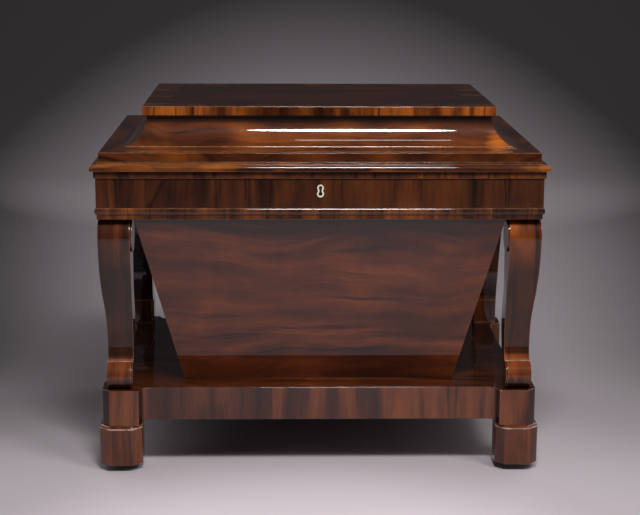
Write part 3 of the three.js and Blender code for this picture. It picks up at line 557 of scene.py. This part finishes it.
VENEERS = {
    "crossband": dict(
        **CROSSBAND, contrast=0.30, ember=0.9, tint=(1.08, 1.0, 0.9),
        flames=(patch("lid_top_board", (0.054, 0.0, 0.503), (0.040, 0.01, 0.03), 0.5),
                patch("lid_top_board", (0.688, 0.0, 0.503), (0.080, 0.01, 0.03), 0.35),
                patch("lid_top_board", (0.954, 0.0, 0.503), (0.030, 0.01, 0.03), 0.5))),
    # The slab's top border is the crossband painted darker than on the slab's edge: painted shade on the top
    "border": dict(**CROSSBAND, contrast=0.25, ember=0.6, tint=(0.5, 0.45, 0.4)),
    "frieze_wide": dict(
        **FRIEZE, source="XZ",
        veins=((-0.608, 0.62, 0.007), (-0.088, 0.0, 0.005), (0.262, 0.02, 0.014)),
        flames=(patch("frieze_front", (0.103, 0.0, 0.493), (0.03, 0.05, 0.03), 0.10),
                patch("frieze_front", (0.424, 0.0, 0.493), (0.02, 0.05, 0.03), 0.08)),
        shades=(patch("frieze_front", (0.084, 0.0, 0.493), (0.09, 0.05, 0.05), 0.35),
                patch("frieze_front", (0.953, 0.0, 0.493), (0.08, 0.05, 0.05), 0.45))),
    "frieze_deep": dict(**FRIEZE, source="YZ"),
    "rail": dict(
        leaf=0.09, swirl=0.006, figure=30.0, contrast=0.10, ember=0.3, tint=(0.85, 0.85, 0.85), seed=31.0),
    "band": dict(
        leaf=0.034, mirrored=False, swirl=0.006, figure=36.0, contrast=0.22, ember=0.6,
        tint=(0.85, 0.85, 0.85), seed=7.0),
    "moulded": dict(
        **ONE_LEAF, swirl=0.012, figure=60.0, ember=1.2, sweep=0.3, seed=11.0,
        flames=(patch("lid_moulding_front", (0.168, 0.0, 0.516), (0.110, 0.03, 0.02), 0.35),)),
    "cove": dict(
        # Painted shade under the slab, along the top of the cove
        **COVE, ember=0.5, shaft=shaft_of("lid_cove_front", 0.788, 2.048, 0.85),
        flames=(patch("lid_cove_front", (0.908, 0.414, 0.459), (0.024, 0.04, 0.020), 0.85),
                patch("lid_cove_front", (0.721, 0.638, 0.705), (0.050, 0.02, 0.010), 0.4),
                patch("lid_cove_front", (0.755, 0.414, 0.377), (0.120, 0.03, 0.020), 0.15)),
        # Painted shade on the cove's side pieces, which face away from the lamps
        shades=(patch("lid_cove_right", (0.818, 0.553, 0.541), (0.06, 0.26, 0.07), 0.5),
                patch("lid_cove_left", (0.182, 0.553, 0.541), (0.06, 0.26, 0.07), 0.3))),
    "tread": dict(
        **COVE, ember=0.3,
        # Painted shade on the platform's top beside the well and behind the legs
        shades=(patch("platform", (0.904, 0.795, 0.970), (0.25, 0.44, 0.10), 0.9),
                patch("platform", (0.096, 0.795, 0.970), (0.25, 0.44, 0.10), 0.9))),
    "field": dict(
        leaf=0.6, swirl=0.03, figure=14.0, contrast=0.0, ember=0.0, tint=(0.4, 0.25, 0.1), seed=17.0),
    "well": dict(
        **ONE_LEAF, swirl=0.03, figure=16.0, ember=0.25, sweep=0.1, tint=(1.2, 1.0, 1.05), seed=19.0,
        flames=(patch("well_front", (0.621, 0.845, 0.563), (0.16, 0.1, 0.05), 0.05),),
        # The first shade is painted shade along the top of the well, under the case; the other two are dark
        # figure
        shades=(patch("well_front", (0.500, 0.149, 1.006), (0.60, 0.30, 0.045), 0.85),
                patch("well_front", (0.409, 0.845, 0.199), (0.10, 0.1, 0.028), 0.5),
                patch("well_front", (0.787, 0.845, 0.310), (0.08, 0.1, 0.03), 0.4))),
    "leg_left": dict(
        **LEG, ember=0.4, shaft=shaft_of("leg_front_left", 0.1614, 0.848, 0.85),
        # Painted shade on the underside of the lower roll
        shades=(patch("leg_front_left", (0.430, 0.110, 0.016), (0.08, 0.06, 0.019), 0.9),),
        tint=(1.0, 0.9, 0.85), seed=23.0),
    "leg_right": dict(
        **LEG, ember=0.8, shaft=shaft_of("leg_front_right", 0.1772, 0.848, 0.85),
        # The first shade is painted shade on the underside of the lower roll
        shades=(patch("leg_front_right", (0.570, 0.110, 0.016), (0.08, 0.06, 0.019), 0.9),
                patch("leg_front_right", (0.570, -0.131, 0.104), (0.08, 0.06, 0.034), 0.3)),
        tint=(1.25, 1.05, 0.85), seed=27.0),
    "plinth": PLINTH,
    # The feet have a painted highlight line along the foot cap
    "foot": dict(**PLINTH, highlight_line=(foot_cap_bottom + FOOT_HIGHLIGHT_RISE, FOOT_HIGHLIGHT_REACH)),
}
veneers = {name: rosewood("veneer_" + name, **values) for name, values in VENEERS.items()}

MAHOGANY = ((0.23, 0.095, 0.038), (0.12, 0.045, 0.018))
inner_wood = {
    source: plain_wood("inner_wood_" + source, source, *MAHOGANY) for source in ("YX", "XY", "ZX", "ZY")}
brass = old_metal("old_brass", (0.56, 0.38, 0.14), (0.24, 0.15, 0.06), 0.3)
iron = old_metal("black_iron", (0.07, 0.065, 0.06), (0.10, 0.06, 0.04), 0.5, grain=120.0, relief=0.0003)
zinc = old_metal("zinc_sheet", (0.42, 0.43, 0.44), (0.30, 0.31, 0.33), 0.45, grain=22.0)
bone = inlaid_bone()


# Shapes

CORNER = radians(22)
SHARP_TURN = radians(40)
WEAR_AND_HIGHLIGHT_TURNS = (radians(8), radians(50))
WEAR_AND_HIGHLIGHT_REACH = 1.3 * ARRIS
EASE_SHARE = 0.45
COINCIDENT = 1e-7
WEAR_AND_HIGHLIGHT_FACING = 0.1
WEAR_AND_HIGHLIGHT_STRAIGHT = -0.5
SHARPEST_COSINE = 0.3
INWARDS = -0.5
LEVEL_STEP = 0.00002
MAP_SHIFT = (0.731, 0.417)


def arc(centre, radii, start, end, steps):
    """Points of an ellipse between two angles in degrees."""
    angles = [radians(start + (end - start) * step / steps) for step in range(steps + 1)]
    return [(centre[0] + radii[0] * math.cos(a), centre[1] + radii[1] * math.sin(a)) for a in angles]


def bezier(a, b, c, d, steps):
    points = []
    for step in range(steps + 1):
        t = step / steps
        parts = (((1 - t) ** 3, a), (3 * t * (1 - t) ** 2, b), (3 * t * t * (1 - t), c), (t ** 3, d))
        points.append(tuple(sum(share * point[axis] for share, point in parts) for axis in (0, 1)))
    return points


def eased(points, radius=ARRIS, closed=True):
    """The outline with each real corner drawn as a small curve."""
    count = len(points)
    result = []
    for i, point in enumerate(points):
        here = Vector(point)
        if not closed and i in (0, count - 1):
            result.append(here)
            continue
        back = Vector(points[i - 1]) - here
        ahead = Vector(points[(i + 1) % count]) - here
        if min(back.length, ahead.length) < COINCIDENT or back.angle(-ahead) < CORNER:
            result.append(here)
            continue
        start = here + back.normalized() * min(radius, back.length * EASE_SHARE)
        end = here + ahead.normalized() * min(radius, ahead.length * EASE_SHARE)
        for step in range(EASE_STEPS + 1):
            t = step / EASE_STEPS
            result.append(start.lerp(here, t).lerp(here.lerp(end, t), t))
    return [tuple(point) for point in result]


def wear_and_highlight_at(vert):
    """1 inside the narrow faces of an arris, and 0 at its borders with wide faces and elsewhere."""
    narrow = [face for face in vert.link_faces
              if face.calc_area() < WEAR_AND_HIGHLIGHT_REACH * max(edge.calc_length() for edge in face.edges)]
    facing = sum((face.normal for face in narrow), Vector())
    if any(face not in narrow and face.normal.dot(facing) > WEAR_AND_HIGHLIGHT_FACING for face in vert.link_faces):
        return 0.0
    least, most = WEAR_AND_HIGHLIGHT_TURNS
    turned = [edge for edge in vert.link_edges if least < edge.calc_face_angle(0.0) < most]
    steps = [(edge.other_vert(vert).co - vert.co).normalized()
             for edge in vert.link_edges if edge.calc_length() < WEAR_AND_HIGHLIGHT_REACH]
    runs_on = any(a.dot(b) < WEAR_AND_HIGHLIGHT_STRAIGHT for i, a in enumerate(steps) for b in steps[:i])
    return 1.0 if turned and runs_on else 0.0


class Solid:
    """Faces with a veneer map in metres, whose V runs along the grain."""

    made = 0

    def __init__(self):
        Solid.made += 1
        self.shift = tuple(Solid.made * step for step in MAP_SHIFT)
        self.points = []
        self.faces = []
        self.maps = []
        self.finishes = []

    def add(self, face, uvs, finish=0):
        self.faces.append(face)
        self.maps.append([(u + self.shift[0], v + self.shift[1]) for u, v in uvs])
        self.finishes.append(finish)

    def build(self, name, body, replaced, slot, materials):
        mesh = bpy.data.meshes.new(name)
        mesh.from_pydata(self.points, [], self.faces)
        layer = mesh.uv_layers.new(name="veneer")
        layer.data.foreach_set("uv", [value for uvs in self.maps for uv in uvs for value in uv])
        mesh.polygons.foreach_set("material_index", self.finishes)
        for material in materials:
            mesh.materials.append(material)
        shell = bmesh.new()
        shell.from_mesh(mesh)
        bmesh.ops.recalc_face_normals(shell, faces=shell.faces)
        # Marks the arrises that are painted pale, as wearing of the polish and painted highlight
        wear_and_highlight = shell.verts.layers.float.new("wear_and_highlight")
        for vert in shell.verts:
            vert[wear_and_highlight] = wear_and_highlight_at(vert)
        shell.to_mesh(mesh)
        shell.free()
        mesh.shade_smooth()
        mesh.set_sharp_from_angle(angle=SHARP_TURN)
        obj = bpy.data.objects.new(name, mesh)
        bpy.context.scene.collection.objects.link(obj)
        even = obj.modifiers.new("even", "WEIGHTED_NORMAL")
        even.keep_sharp = True
        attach(obj, body)
        if replaced:
            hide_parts(*replaced)


def lofted(rings, lengths=None, cap_finishes=(0, 0), solid=None):
    """A solid through rings of points. V follows the way from ring to ring, or lengths."""
    solid = solid or Solid()
    first = len(solid.points)
    count = len(rings[0])
    solid.points.extend(tuple(point) for ring in rings for point in ring)
    if lengths is None:
        lengths = [0.0]
        for lower, upper in zip(rings, rings[1:]):
            steps = [(Vector(b) - Vector(a)).length for a, b in zip(lower, upper)]
            lengths.append(lengths[-1] + sum(steps) / count)
    for level in range(len(rings) - 1):
        for i in range(count):
            j = (i + 1) % count
            low, high = first + level * count, first + (level + 1) * count
            a, b = Vector(rings[level][i]), Vector(rings[level][j])
            c, d = Vector(rings[level + 1][j]), Vector(rings[level + 1][i])
            axis = 0 if abs(b.x - a.x) + abs(c.x - d.x) > abs(b.y - a.y) + abs(c.y - d.y) else 1
            uvs = [(a[axis], lengths[level]), (b[axis], lengths[level]),
                   (c[axis], lengths[level + 1]), (d[axis], lengths[level + 1])]
            solid.add((low + i, low + j, high + j, high + i), uvs)
    last = first + (len(rings) - 1) * count
    for start, ring, cap in ((first, rings[0], cap_finishes[0]), (last, rings[-1], cap_finishes[1])):
        if cap is not None:
            solid.add(tuple(range(start, start + count)), [(point[1], point[0]) for point in ring], cap)
    return solid


def moulding(name, section, half_x, half_y, body, veneer, backing, lengthwise=False):
    """Four mitred lengths round a rectangle. The section holds points of (proud of the face, height),
    and faces that look inwards take the backing."""
    for turn, side in enumerate(SIDES):
        half_along, half_out = (half_x, half_y) if turn % 2 == 0 else (half_y, half_x)
        solid = Solid()
        count = len(section)
        for end in (-1, 1):
            for proud, height in section:
                x = end * (half_along + proud - MITRE_GAP / 2)
                y = -half_out - proud
                for _ in range(turn):
                    x, y = -y, x
                solid.points.append((x, y, height))
        distance = 0.0
        for i in range(count):
            j = (i + 1) % count
            a, b = Vector(section[i]), Vector(section[j])
            step = (b - a).length
            starts = (half_along + a.x, half_along + b.x)
            rows = ((-starts[0], distance), (starts[0], distance),
                    (starts[1], distance + step), (-starts[1], distance + step))
            uvs = [(v, u) for u, v in rows] if lengthwise else list(rows)
            inwards = step > 0 and (b.y - a.y) / step < INWARDS
            solid.add((i, count + i, count + j, j), uvs, 1 if inwards else 0)
            distance += step
        for start in (0, count):
            solid.add(tuple(range(start, start + count)), [tuple(point) for point in section], 1)
        node = name + "_" + side
        solid.build(node + "_polished", body, [node], "rosewood", [veneer, backing[turn % 2]])


def section_of(name):
    """Inner and outer reach from the case face, and bottom and top, of a mitred frame."""
    low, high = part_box(name + "_front")
    return -high.y - case_half_y, -low.y - case_half_y, low.z, high.z


# How far a rounded top edge is drawn in, and how far it lies below the top
ROUNDED = [(ARRIS * (1 - math.cos(a)), ARRIS * (1 - math.sin(a))) for a in map(radians, (0, 30, 60, 90))]


# Lid

def add_lid():
    backing = (inner_wood["YX"], inner_wood["XY"])
    inner, outer, bottom, top = section_of("lid_rail")
    rail = eased([(inner, bottom), (outer, bottom), (outer, top), (inner, top)])
    moulding("lid_rail", rail, case_half_x, case_half_y, "lid", veneers["rail"], backing)

    inner, outer, bottom, top = section_of("lid_moulding")
    quarter_top = top - FILLET_HEIGHT
    lip = bottom + LID_LIP
    quarter = arc((-OVOLO_HEEL, lip), (outer + OVOLO_HEEL, quarter_top - lip), 0, 90, OVOLO_STEPS)
    ovolo = eased([
        (inner, bottom), (outer, bottom), *quarter, (-FILLET_INSET, quarter_top), (-FILLET_INSET, top),
        (inner, top)], FINE_ARRIS)
    moulding("lid_moulding", ovolo, case_half_x, case_half_y, "lid", veneers["moulded"], backing, True)

    inner, outer, bottom, top = section_of("lid_cove")
    ledge = outer - COVE_LEDGE
    ledge_height = bottom + FASCIA_HEIGHT
    neck = -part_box("lid_top_board")[0].y - SLAB_OVERHANG - case_half_y
    hollow = arc((ledge, top), (ledge - neck, top - ledge_height), -90, -180, HOLLOW_STEPS)
    quirk = hollow[COVE_QUIRK_STEP]
    raised = (quirk[0] - COVE_QUIRK_LEAN, quirk[1] + COVE_QUIRK)
    hollow[COVE_QUIRK_STEP:COVE_QUIRK_STEP + 1] = [quirk, raised]
    frame_inner = section_of("lid_rail")[0]
    cove = eased([
        (inner, top), (frame_inner, bottom), (outer, bottom), (outer, ledge_height), *hollow])
    moulding("lid_cove", cove, case_half_x, case_half_y, "lid", veneers["cove"], backing, True)
    add_slab()


def add_slab():
    low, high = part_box("lid_top_board")

    def ring(inset, z):
        x, y = high.x - inset, high.y - inset
        return [(px, py, z) for px, py in eased([(x, -y), (x, y), (-x, y), (-x, -y)])]

    rings = [ring(ARRIS, low.z), ring(0, low.z + ARRIS)]
    rings += [ring(drawn_in, high.z - drop) for drawn_in, drop in ROUNDED]
    solid = lofted(rings, cap_finishes=(2, None))
    outer = rings[-1]
    inner = ring(SLAB_BORDER, high.z)
    start = len(solid.points) - len(outer)
    solid.points.extend(inner)
    count = len(outer)
    for i in range(count):
        j = (i + 1) % count
        middle = (Vector(outer[i]) + Vector(outer[j])) / 2
        at_end = high.x - abs(middle.x) < high.y - abs(middle.y)
        corners = (outer[i], outer[j], inner[j], inner[i])
        uvs = [(p[1], p[0]) if at_end else (p[0], p[1]) for p in corners]
        solid.add((start + i, start + j, start + count + j, start + count + i), uvs, 3)
    solid.add(tuple(range(start + count, start + 2 * count)), [(p[1], p[0]) for p in inner], 1)
    solid.build("lid_top_board_polished", "lid", ["lid_top_board"], "rosewood",
                [veneers["crossband"], veneers["field"], inner_wood["YX"], veneers["border"]])


# Case

def add_case():
    backing = (inner_wood["YX"], inner_wood["XY"])
    inner, outer, bottom, top = section_of("base_moulding")
    bead_bottom = bottom + SHOULDER_HEIGHT
    middle = (bead_bottom + top) / 2
    half_bead = (top - bead_bottom) / 2
    bead = arc((outer - BEAD_BULGE, middle), (BEAD_BULGE, half_bead), -90, 90, BEAD_STEPS)
    section = [
        (inner, bottom), (-SHOULDER_INSET, bottom), (-SHOULDER_INSET, bead_bottom), *bead, (inner, top)]
    moulding("base_moulding", eased(section, SMALL_ARRIS), case_half_x, case_half_y, "stand",
             veneers["band"], backing)


def add_well():
    backing = (inner_wood["ZX"], inner_wood["ZY"])
    low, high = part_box("well_front")
    half_y = -low.y - WELL_FLARE
    half_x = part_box("well_right")[1].x - WELL_FLARE
    corners = [(-WELL_WALL, low.z), (0, low.z), (WELL_FLARE, high.z), (WELL_FLARE - WELL_WALL, high.z)]
    section = eased(corners, SMALL_ARRIS)
    moulding("well", section, half_x, half_y, "stand", veneers["well"], backing, True)


# Legs, to the same sizes as the solids


def leg_front(height):
    """The front of the scroll, from its top down and round the lower roll, as (depth, height)."""
    roll = arc((UPPER_ROLL, height - UPPER_ROLL), (UPPER_ROLL, UPPER_ROLL),
               90, 180 + UPPER_ROLL_LEAVE, UPPER_ROLL_STEPS)
    lean = radians(UPPER_ROLL_LEAVE)
    leave = roll[-1]
    pulled = (leave[0] + FRONT_PULL * math.sin(lean), leave[1] - FRONT_PULL * math.cos(lean))
    shaft = bezier(leave, pulled, (NECK[0], NECK[1] + NECK_PULL), NECK, SHAFT_STEPS)
    lower = arc((LOWER_ROLL, LOWER_ROLL), (LOWER_ROLL, LOWER_ROLL),
                LOWER_ROLL_ARRIS, 270, LOWER_ROLL_STEPS)
    start, end = Vector((NECK[0], SCOOP_HEIGHT)), Vector(lower[0])
    middle = Vector((NECK[0], end.y + (NECK[0] - end.x) / math.tan(radians(SCOOP_LEAN))))
    scoop = bezier(start, start.lerp(middle, 2 / 3), end.lerp(middle, 2 / 3), end, SCOOP_STEPS)
    return eased(roll + shaft[1:] + scoop + lower[1:], FINE_ARRIS, closed=False)


def leg_back(height):
    """The back of the scroll, from its foot up."""
    pull = SHAFT_PULL_SHARE * height
    knots = [(SHAFT_FOOT_DEPTH, 0.0), (SHAFT_HEEL_DEPTH, SHAFT_HEEL_SHARE * height),
             (SHAFT_WAIST_DEPTH, SHAFT_WAIST_SHARE * height), (SHAFT_TOP_DEPTH, SHAFT_TOP_SHARE * height)]
    points = knots[:1]
    for (depth_a, a), (depth_b, b) in zip(knots, knots[1:]):
        rise = pull if a else 2 * pull
        points += bezier((depth_a, a), (depth_a, a + rise), (depth_b, b - pull), (depth_b, b),
                         LEG_BACK_STEPS)[1:]
    return points + [(SHAFT_TOP_DEPTH, height)]


def at_height(points, height):
    """Depth of a rising outline at a height."""
    for (depth_a, a), (depth_b, b) in zip(points, points[1:]):
        if a <= height <= b:
            return depth_a + (depth_b - depth_a) * (height - a) / (b - a) if b > a else depth_a
    return points[-1][0]


def leg_stations(height):
    """Places down the leg as (depth, front height, back height, how far the inner side is let in)."""
    recess_top = LOWER_ROLL * (1 + math.sin(radians(LOWER_ROLL_ARRIS))) - LOWER_ROLL_LIP
    stations = []
    back = height
    let_in = 0.0
    for depth, level in leg_front(height):
        back = min(back - LEVEL_STEP, level)
        if not let_in and level < recess_top:
            let_in = LOWER_ROLL_RECESS
            stations.append((depth, level, back, 0.0))
        stations.append((depth, level, back, let_in))
    return stations


def add_disc(solid, x_sign, y_sign, root, face, radius, depth, height):
    """A round boss on the inner side of a roll."""
    last = DISC_STEPS - 1
    edge = arc((face + DISC_EDGE, radius - DISC_EDGE), (DISC_EDGE, DISC_EDGE), 90, 180, DISC_EDGE_STEPS)
    rings = []
    for x, reach in [(root, radius), *edge]:
        circle = arc((depth, height), (reach, reach), 0, 360 * last / DISC_STEPS, last)
        rings.append([(x_sign * x, -y_sign * y, z) for y, z in circle])
    lofted(rings, solid=solid)


def add_leg(depth_name, side_name, x_sign, y_sign):
    node = f"leg_{depth_name}_{side_name}"
    low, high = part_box(node)
    height = high.z - low.z
    outer = max(abs(low.x), abs(high.x))
    front = max(abs(low.y), abs(high.y))
    disc_face = min(abs(low.x), abs(high.x))
    inner = outer - LEG_WIDTH
    back_points = leg_back(height)
    narrow = outer - LEG_WAIST_INSET
    waist = bezier((narrow, WAIST_START_SHARE * height), (narrow, height / 2),
                   (outer, height / 2), (outer, WAIST_END_SHARE * height), LEG_WAIST_STEPS)
    waist = [(narrow, 0.0), *waist, (outer, height)]
    rings = []
    lengths = [0.0]
    before = None
    for depth, level, back_level, let_in in leg_stations(height):
        back = at_height(back_points, back_level)
        reach = at_height(waist, level)
        side = inner + let_in
        ring = []
        for x, y in eased([(side, depth), (reach, depth), (reach, back), (side, back)]):
            z = level + (back_level - level) * (y - depth) / (back - depth)
            ring.append((x_sign * x, -y_sign * (front - y), low.z + z))
        rings.append(ring)
        if before:
            lengths.append(lengths[-1] + math.hypot(depth - before[0], level - before[1]))
        before = (depth, level)
    solid = lofted(rings, lengths)
    add_disc(solid, x_sign, y_sign, inner + ARRIS, disc_face, UPPER_ROLL - UPPER_DISC_MARGIN,
             front - UPPER_ROLL, high.z - UPPER_ROLL)
    add_disc(solid, x_sign, y_sign, inner + LOWER_ROLL_RECESS + ARRIS, inner, LOWER_ROLL - LOWER_DISC_MARGIN,
             front - LOWER_ROLL, low.z + LOWER_ROLL)
    solid.build(node + "_polished", "stand", [node], "rosewood", [veneers["leg_" + side_name]])


def add_legs():
    for depth_name, y_sign in (("front", 1), ("back", -1)):
        for side_name, x_sign in (("left", -1), ("right", 1)):
            add_leg(depth_name, side_name, x_sign, y_sign)


# Platform and feet

def fourfold(quarter):
    """The closed plan whose quarter runs from +X round to +Y."""
    turned = [[(x * sx, y * sy) for x, y in quarter] for sx, sy in ((1, 1), (-1, 1), (-1, -1), (1, -1))]
    return turned[0] + turned[1][::-1] + turned[2] + turned[3][::-1]


def inset(points, distance):
    """A closed anticlockwise plan moved inwards."""
    result = []
    for i, point in enumerate(points):
        here = Vector(point)
        before = (here - Vector(points[i - 1])).normalized()
        after = (Vector(points[(i + 1) % len(points)]) - here).normalized()
        normal = Vector((-before.y - after.y, before.x + after.x)).normalized()
        cosine = max(SHARPEST_COSINE, normal.dot(Vector((-before.y, before.x))))
        result.append(tuple(here + normal * distance / cosine))
    return result


def add_platform():
    low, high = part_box("platform")
    x, y = high.x, high.y
    reach = POST_WIDTH + APRON_RECESS
    recess = (APRON_RECESS, APRON_RECESS)
    quarter = [
        *arc((x, y - reach), recess, 180, 90, RECESS_STEPS), (x, y - POST_CANT), (x - POST_CANT, y),
        *arc((x - reach, y), recess, 0, -90, RECESS_STEPS)]
    plan = eased(fourfold(quarter), CANT_ARRIS)
    apron = low.z + APRON_LIFT
    levels = [(ARRIS, apron), (0, apron + ARRIS)]
    levels += [(drawn_in, high.z - drop) for drawn_in, drop in ROUNDED]
    rings = [[(px, py, z) for px, py in inset(plan, depth)] for depth, z in levels]
    solid = lofted(rings, cap_finishes=(0, 1))
    inner_x, inner_y = x - POST_WIDTH, y - POST_WIDTH
    for sx, sy in ((1, 1), (-1, 1), (-1, -1), (1, -1)):
        corners = [(x, inner_y), (x, y - POST_CANT), (x - POST_CANT, y), (inner_x, y), (inner_x, inner_y)]
        post = eased(corners, CANT_ARRIS)
        lofted([[(sx * px, sy * py, z) for px, py in post] for z in (low.z, apron + ARRIS)], solid=solid)
    solid.build("platform_polished", "stand", ["platform"], "rosewood",
                [veneers["plinth"], veneers["tread"]])


def add_foot(node):
    low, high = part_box(node)
    middle = (low + high) / 2
    half = (high.x - low.x) / 2
    shrink = 2 - math.sqrt(2)
    top = high.z - FOOT_CAP_RISE

    def ring(depth, z):
        reach, cant = half - depth, FOOT_CANT - shrink * depth
        corner = [(reach, reach - cant), (reach - cant, reach)]
        return [(middle.x + px, middle.y + py, z) for px, py in eased(fourfold(corner), CANT_ARRIS)]

    def round_ring(z, steps):
        angles = [math.atan2(p[1] - middle.y, p[0] - middle.x) for p in steps]
        radius = CASTER_RECESS_RADIUS
        return [(middle.x + radius * math.cos(a), middle.y + radius * math.sin(a), z) for a in angles]

    base = ring(ARRIS, low.z)
    rings = [round_ring(low.z + CASTER_RECESS_DEPTH, base), round_ring(low.z, base)]
    rings += [base, ring(0, low.z + ARRIS)]
    cap = arc((0, top), (FOOT_CAP_INSET, FOOT_CAP_RISE), 0, 90, FOOT_CAP_STEPS)
    rings.append(ring(0, top - ARRIS))
    rings.extend(ring(FOOT_CAP_INSET - depth, z) for depth, z in cap)
    solid = lofted(rings)
    solid.build(node + "_polished", "stand", [node], "rosewood", [veneers["foot"]])


def add_feet():
    for depth_name in ("front", "back"):
        for side_name in ("left", "right"):
            add_foot(f"foot_block_{depth_name}_{side_name}")


# Screws in the metal fittings

def add_screws(name, body, x_places, y, face_z, up):
    """Slotted heads, almost level with a plate that faces up (1) or down (-1)."""
    solid = Solid()
    open_angle = math.degrees(math.asin(SCREW_SLOT / 2 / SCREW_RADIUS))
    half_head = arc((0, 0), (SCREW_RADIUS, SCREW_RADIUS), open_angle, 180 - open_angle, SCREW_STEPS)
    levels = ((0.0, -SCREW_SEAT), (0.0, SCREW_RISE / 4), (SCREW_RISE, SCREW_RISE))
    for number, x in enumerate(x_places):
        turn = radians(SCREW_TURN + SCREW_TURN_STEP * number)
        for half_turn in (turn, turn + math.pi):
            cosine, sine = math.cos(half_turn), math.sin(half_turn)
            plan = [(x + px * cosine - py * sine, y + px * sine + py * cosine) for px, py in half_head]
            lofted([[(px, py, face_z + up * z) for px, py in inset(plan, depth)] for depth, z in levels],
                   solid=solid)
    solid.build(name, body, None, "brass", [brass])


def add_fittings():
    seam_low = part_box("frieze_front")[1].z
    seam_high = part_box("lid_rail_front")[0].z
    for side_name in ("left", "right"):
        low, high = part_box("hinge_case_leaf_" + side_name)
        places = (low.x + HINGE_SCREW_MARGIN, (low.x + high.x) / 2, high.x - HINGE_SCREW_MARGIN)
        y = low.y + HINGE_SCREW_SETBACK
        add_screws("hinge_case_screws_" + side_name, "stand", places, y, seam_low, 1)
        add_screws("hinge_lid_screws_" + side_name, "lid", places, y, seam_high, -1)
    for node, body, margin, face_z, up in (
            ("lock_case", "stand", LOCK_SCREW_MARGIN, seam_low, 1),
            ("link_plate", "lid", LINK_SCREW_MARGIN, seam_high, -1)):
        low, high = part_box(node)
        places = (low.x + margin, high.x - margin)
        add_screws(node + "_screws", body, places, (low.y + high.y) / 2, face_z, up)


# CAD nodes that are shown as they are

def paint(material, *names):
    for name in names:
        for slot in nodes[name].material_slots:
            slot.link = "OBJECT"
            slot.material = material


def paint_nodes():
    paint(veneers["frieze_wide"], "frieze_front", "frieze_back")
    paint(veneers["frieze_deep"], "frieze_left", "frieze_right")
    paint(bone, "escutcheon")
    paint(zinc, "well_lining")
    paint(inner_wood["YX"], "well_bottom")
    paint(inner_wood["XY"], "case_floor_left", "case_floor_right")
    paint(inner_wood["ZX"], "partition_long_1", "partition_long_2")
    paint(inner_wood["ZY"], "partition_cross_1", "partition_cross_2", "partition_cross_3")
    for name in nodes:
        if name.startswith(("hinge_", "lock_", "link_", "caster_wheel")):
            paint(brass, name)
        if name.startswith("caster_fork"):
            paint(iron, name)


add_camera()
add_lights()
add_floor()
add_lid()
add_case()
add_well()
add_legs()
add_platform()
add_feet()
add_fittings()
paint_nodes()
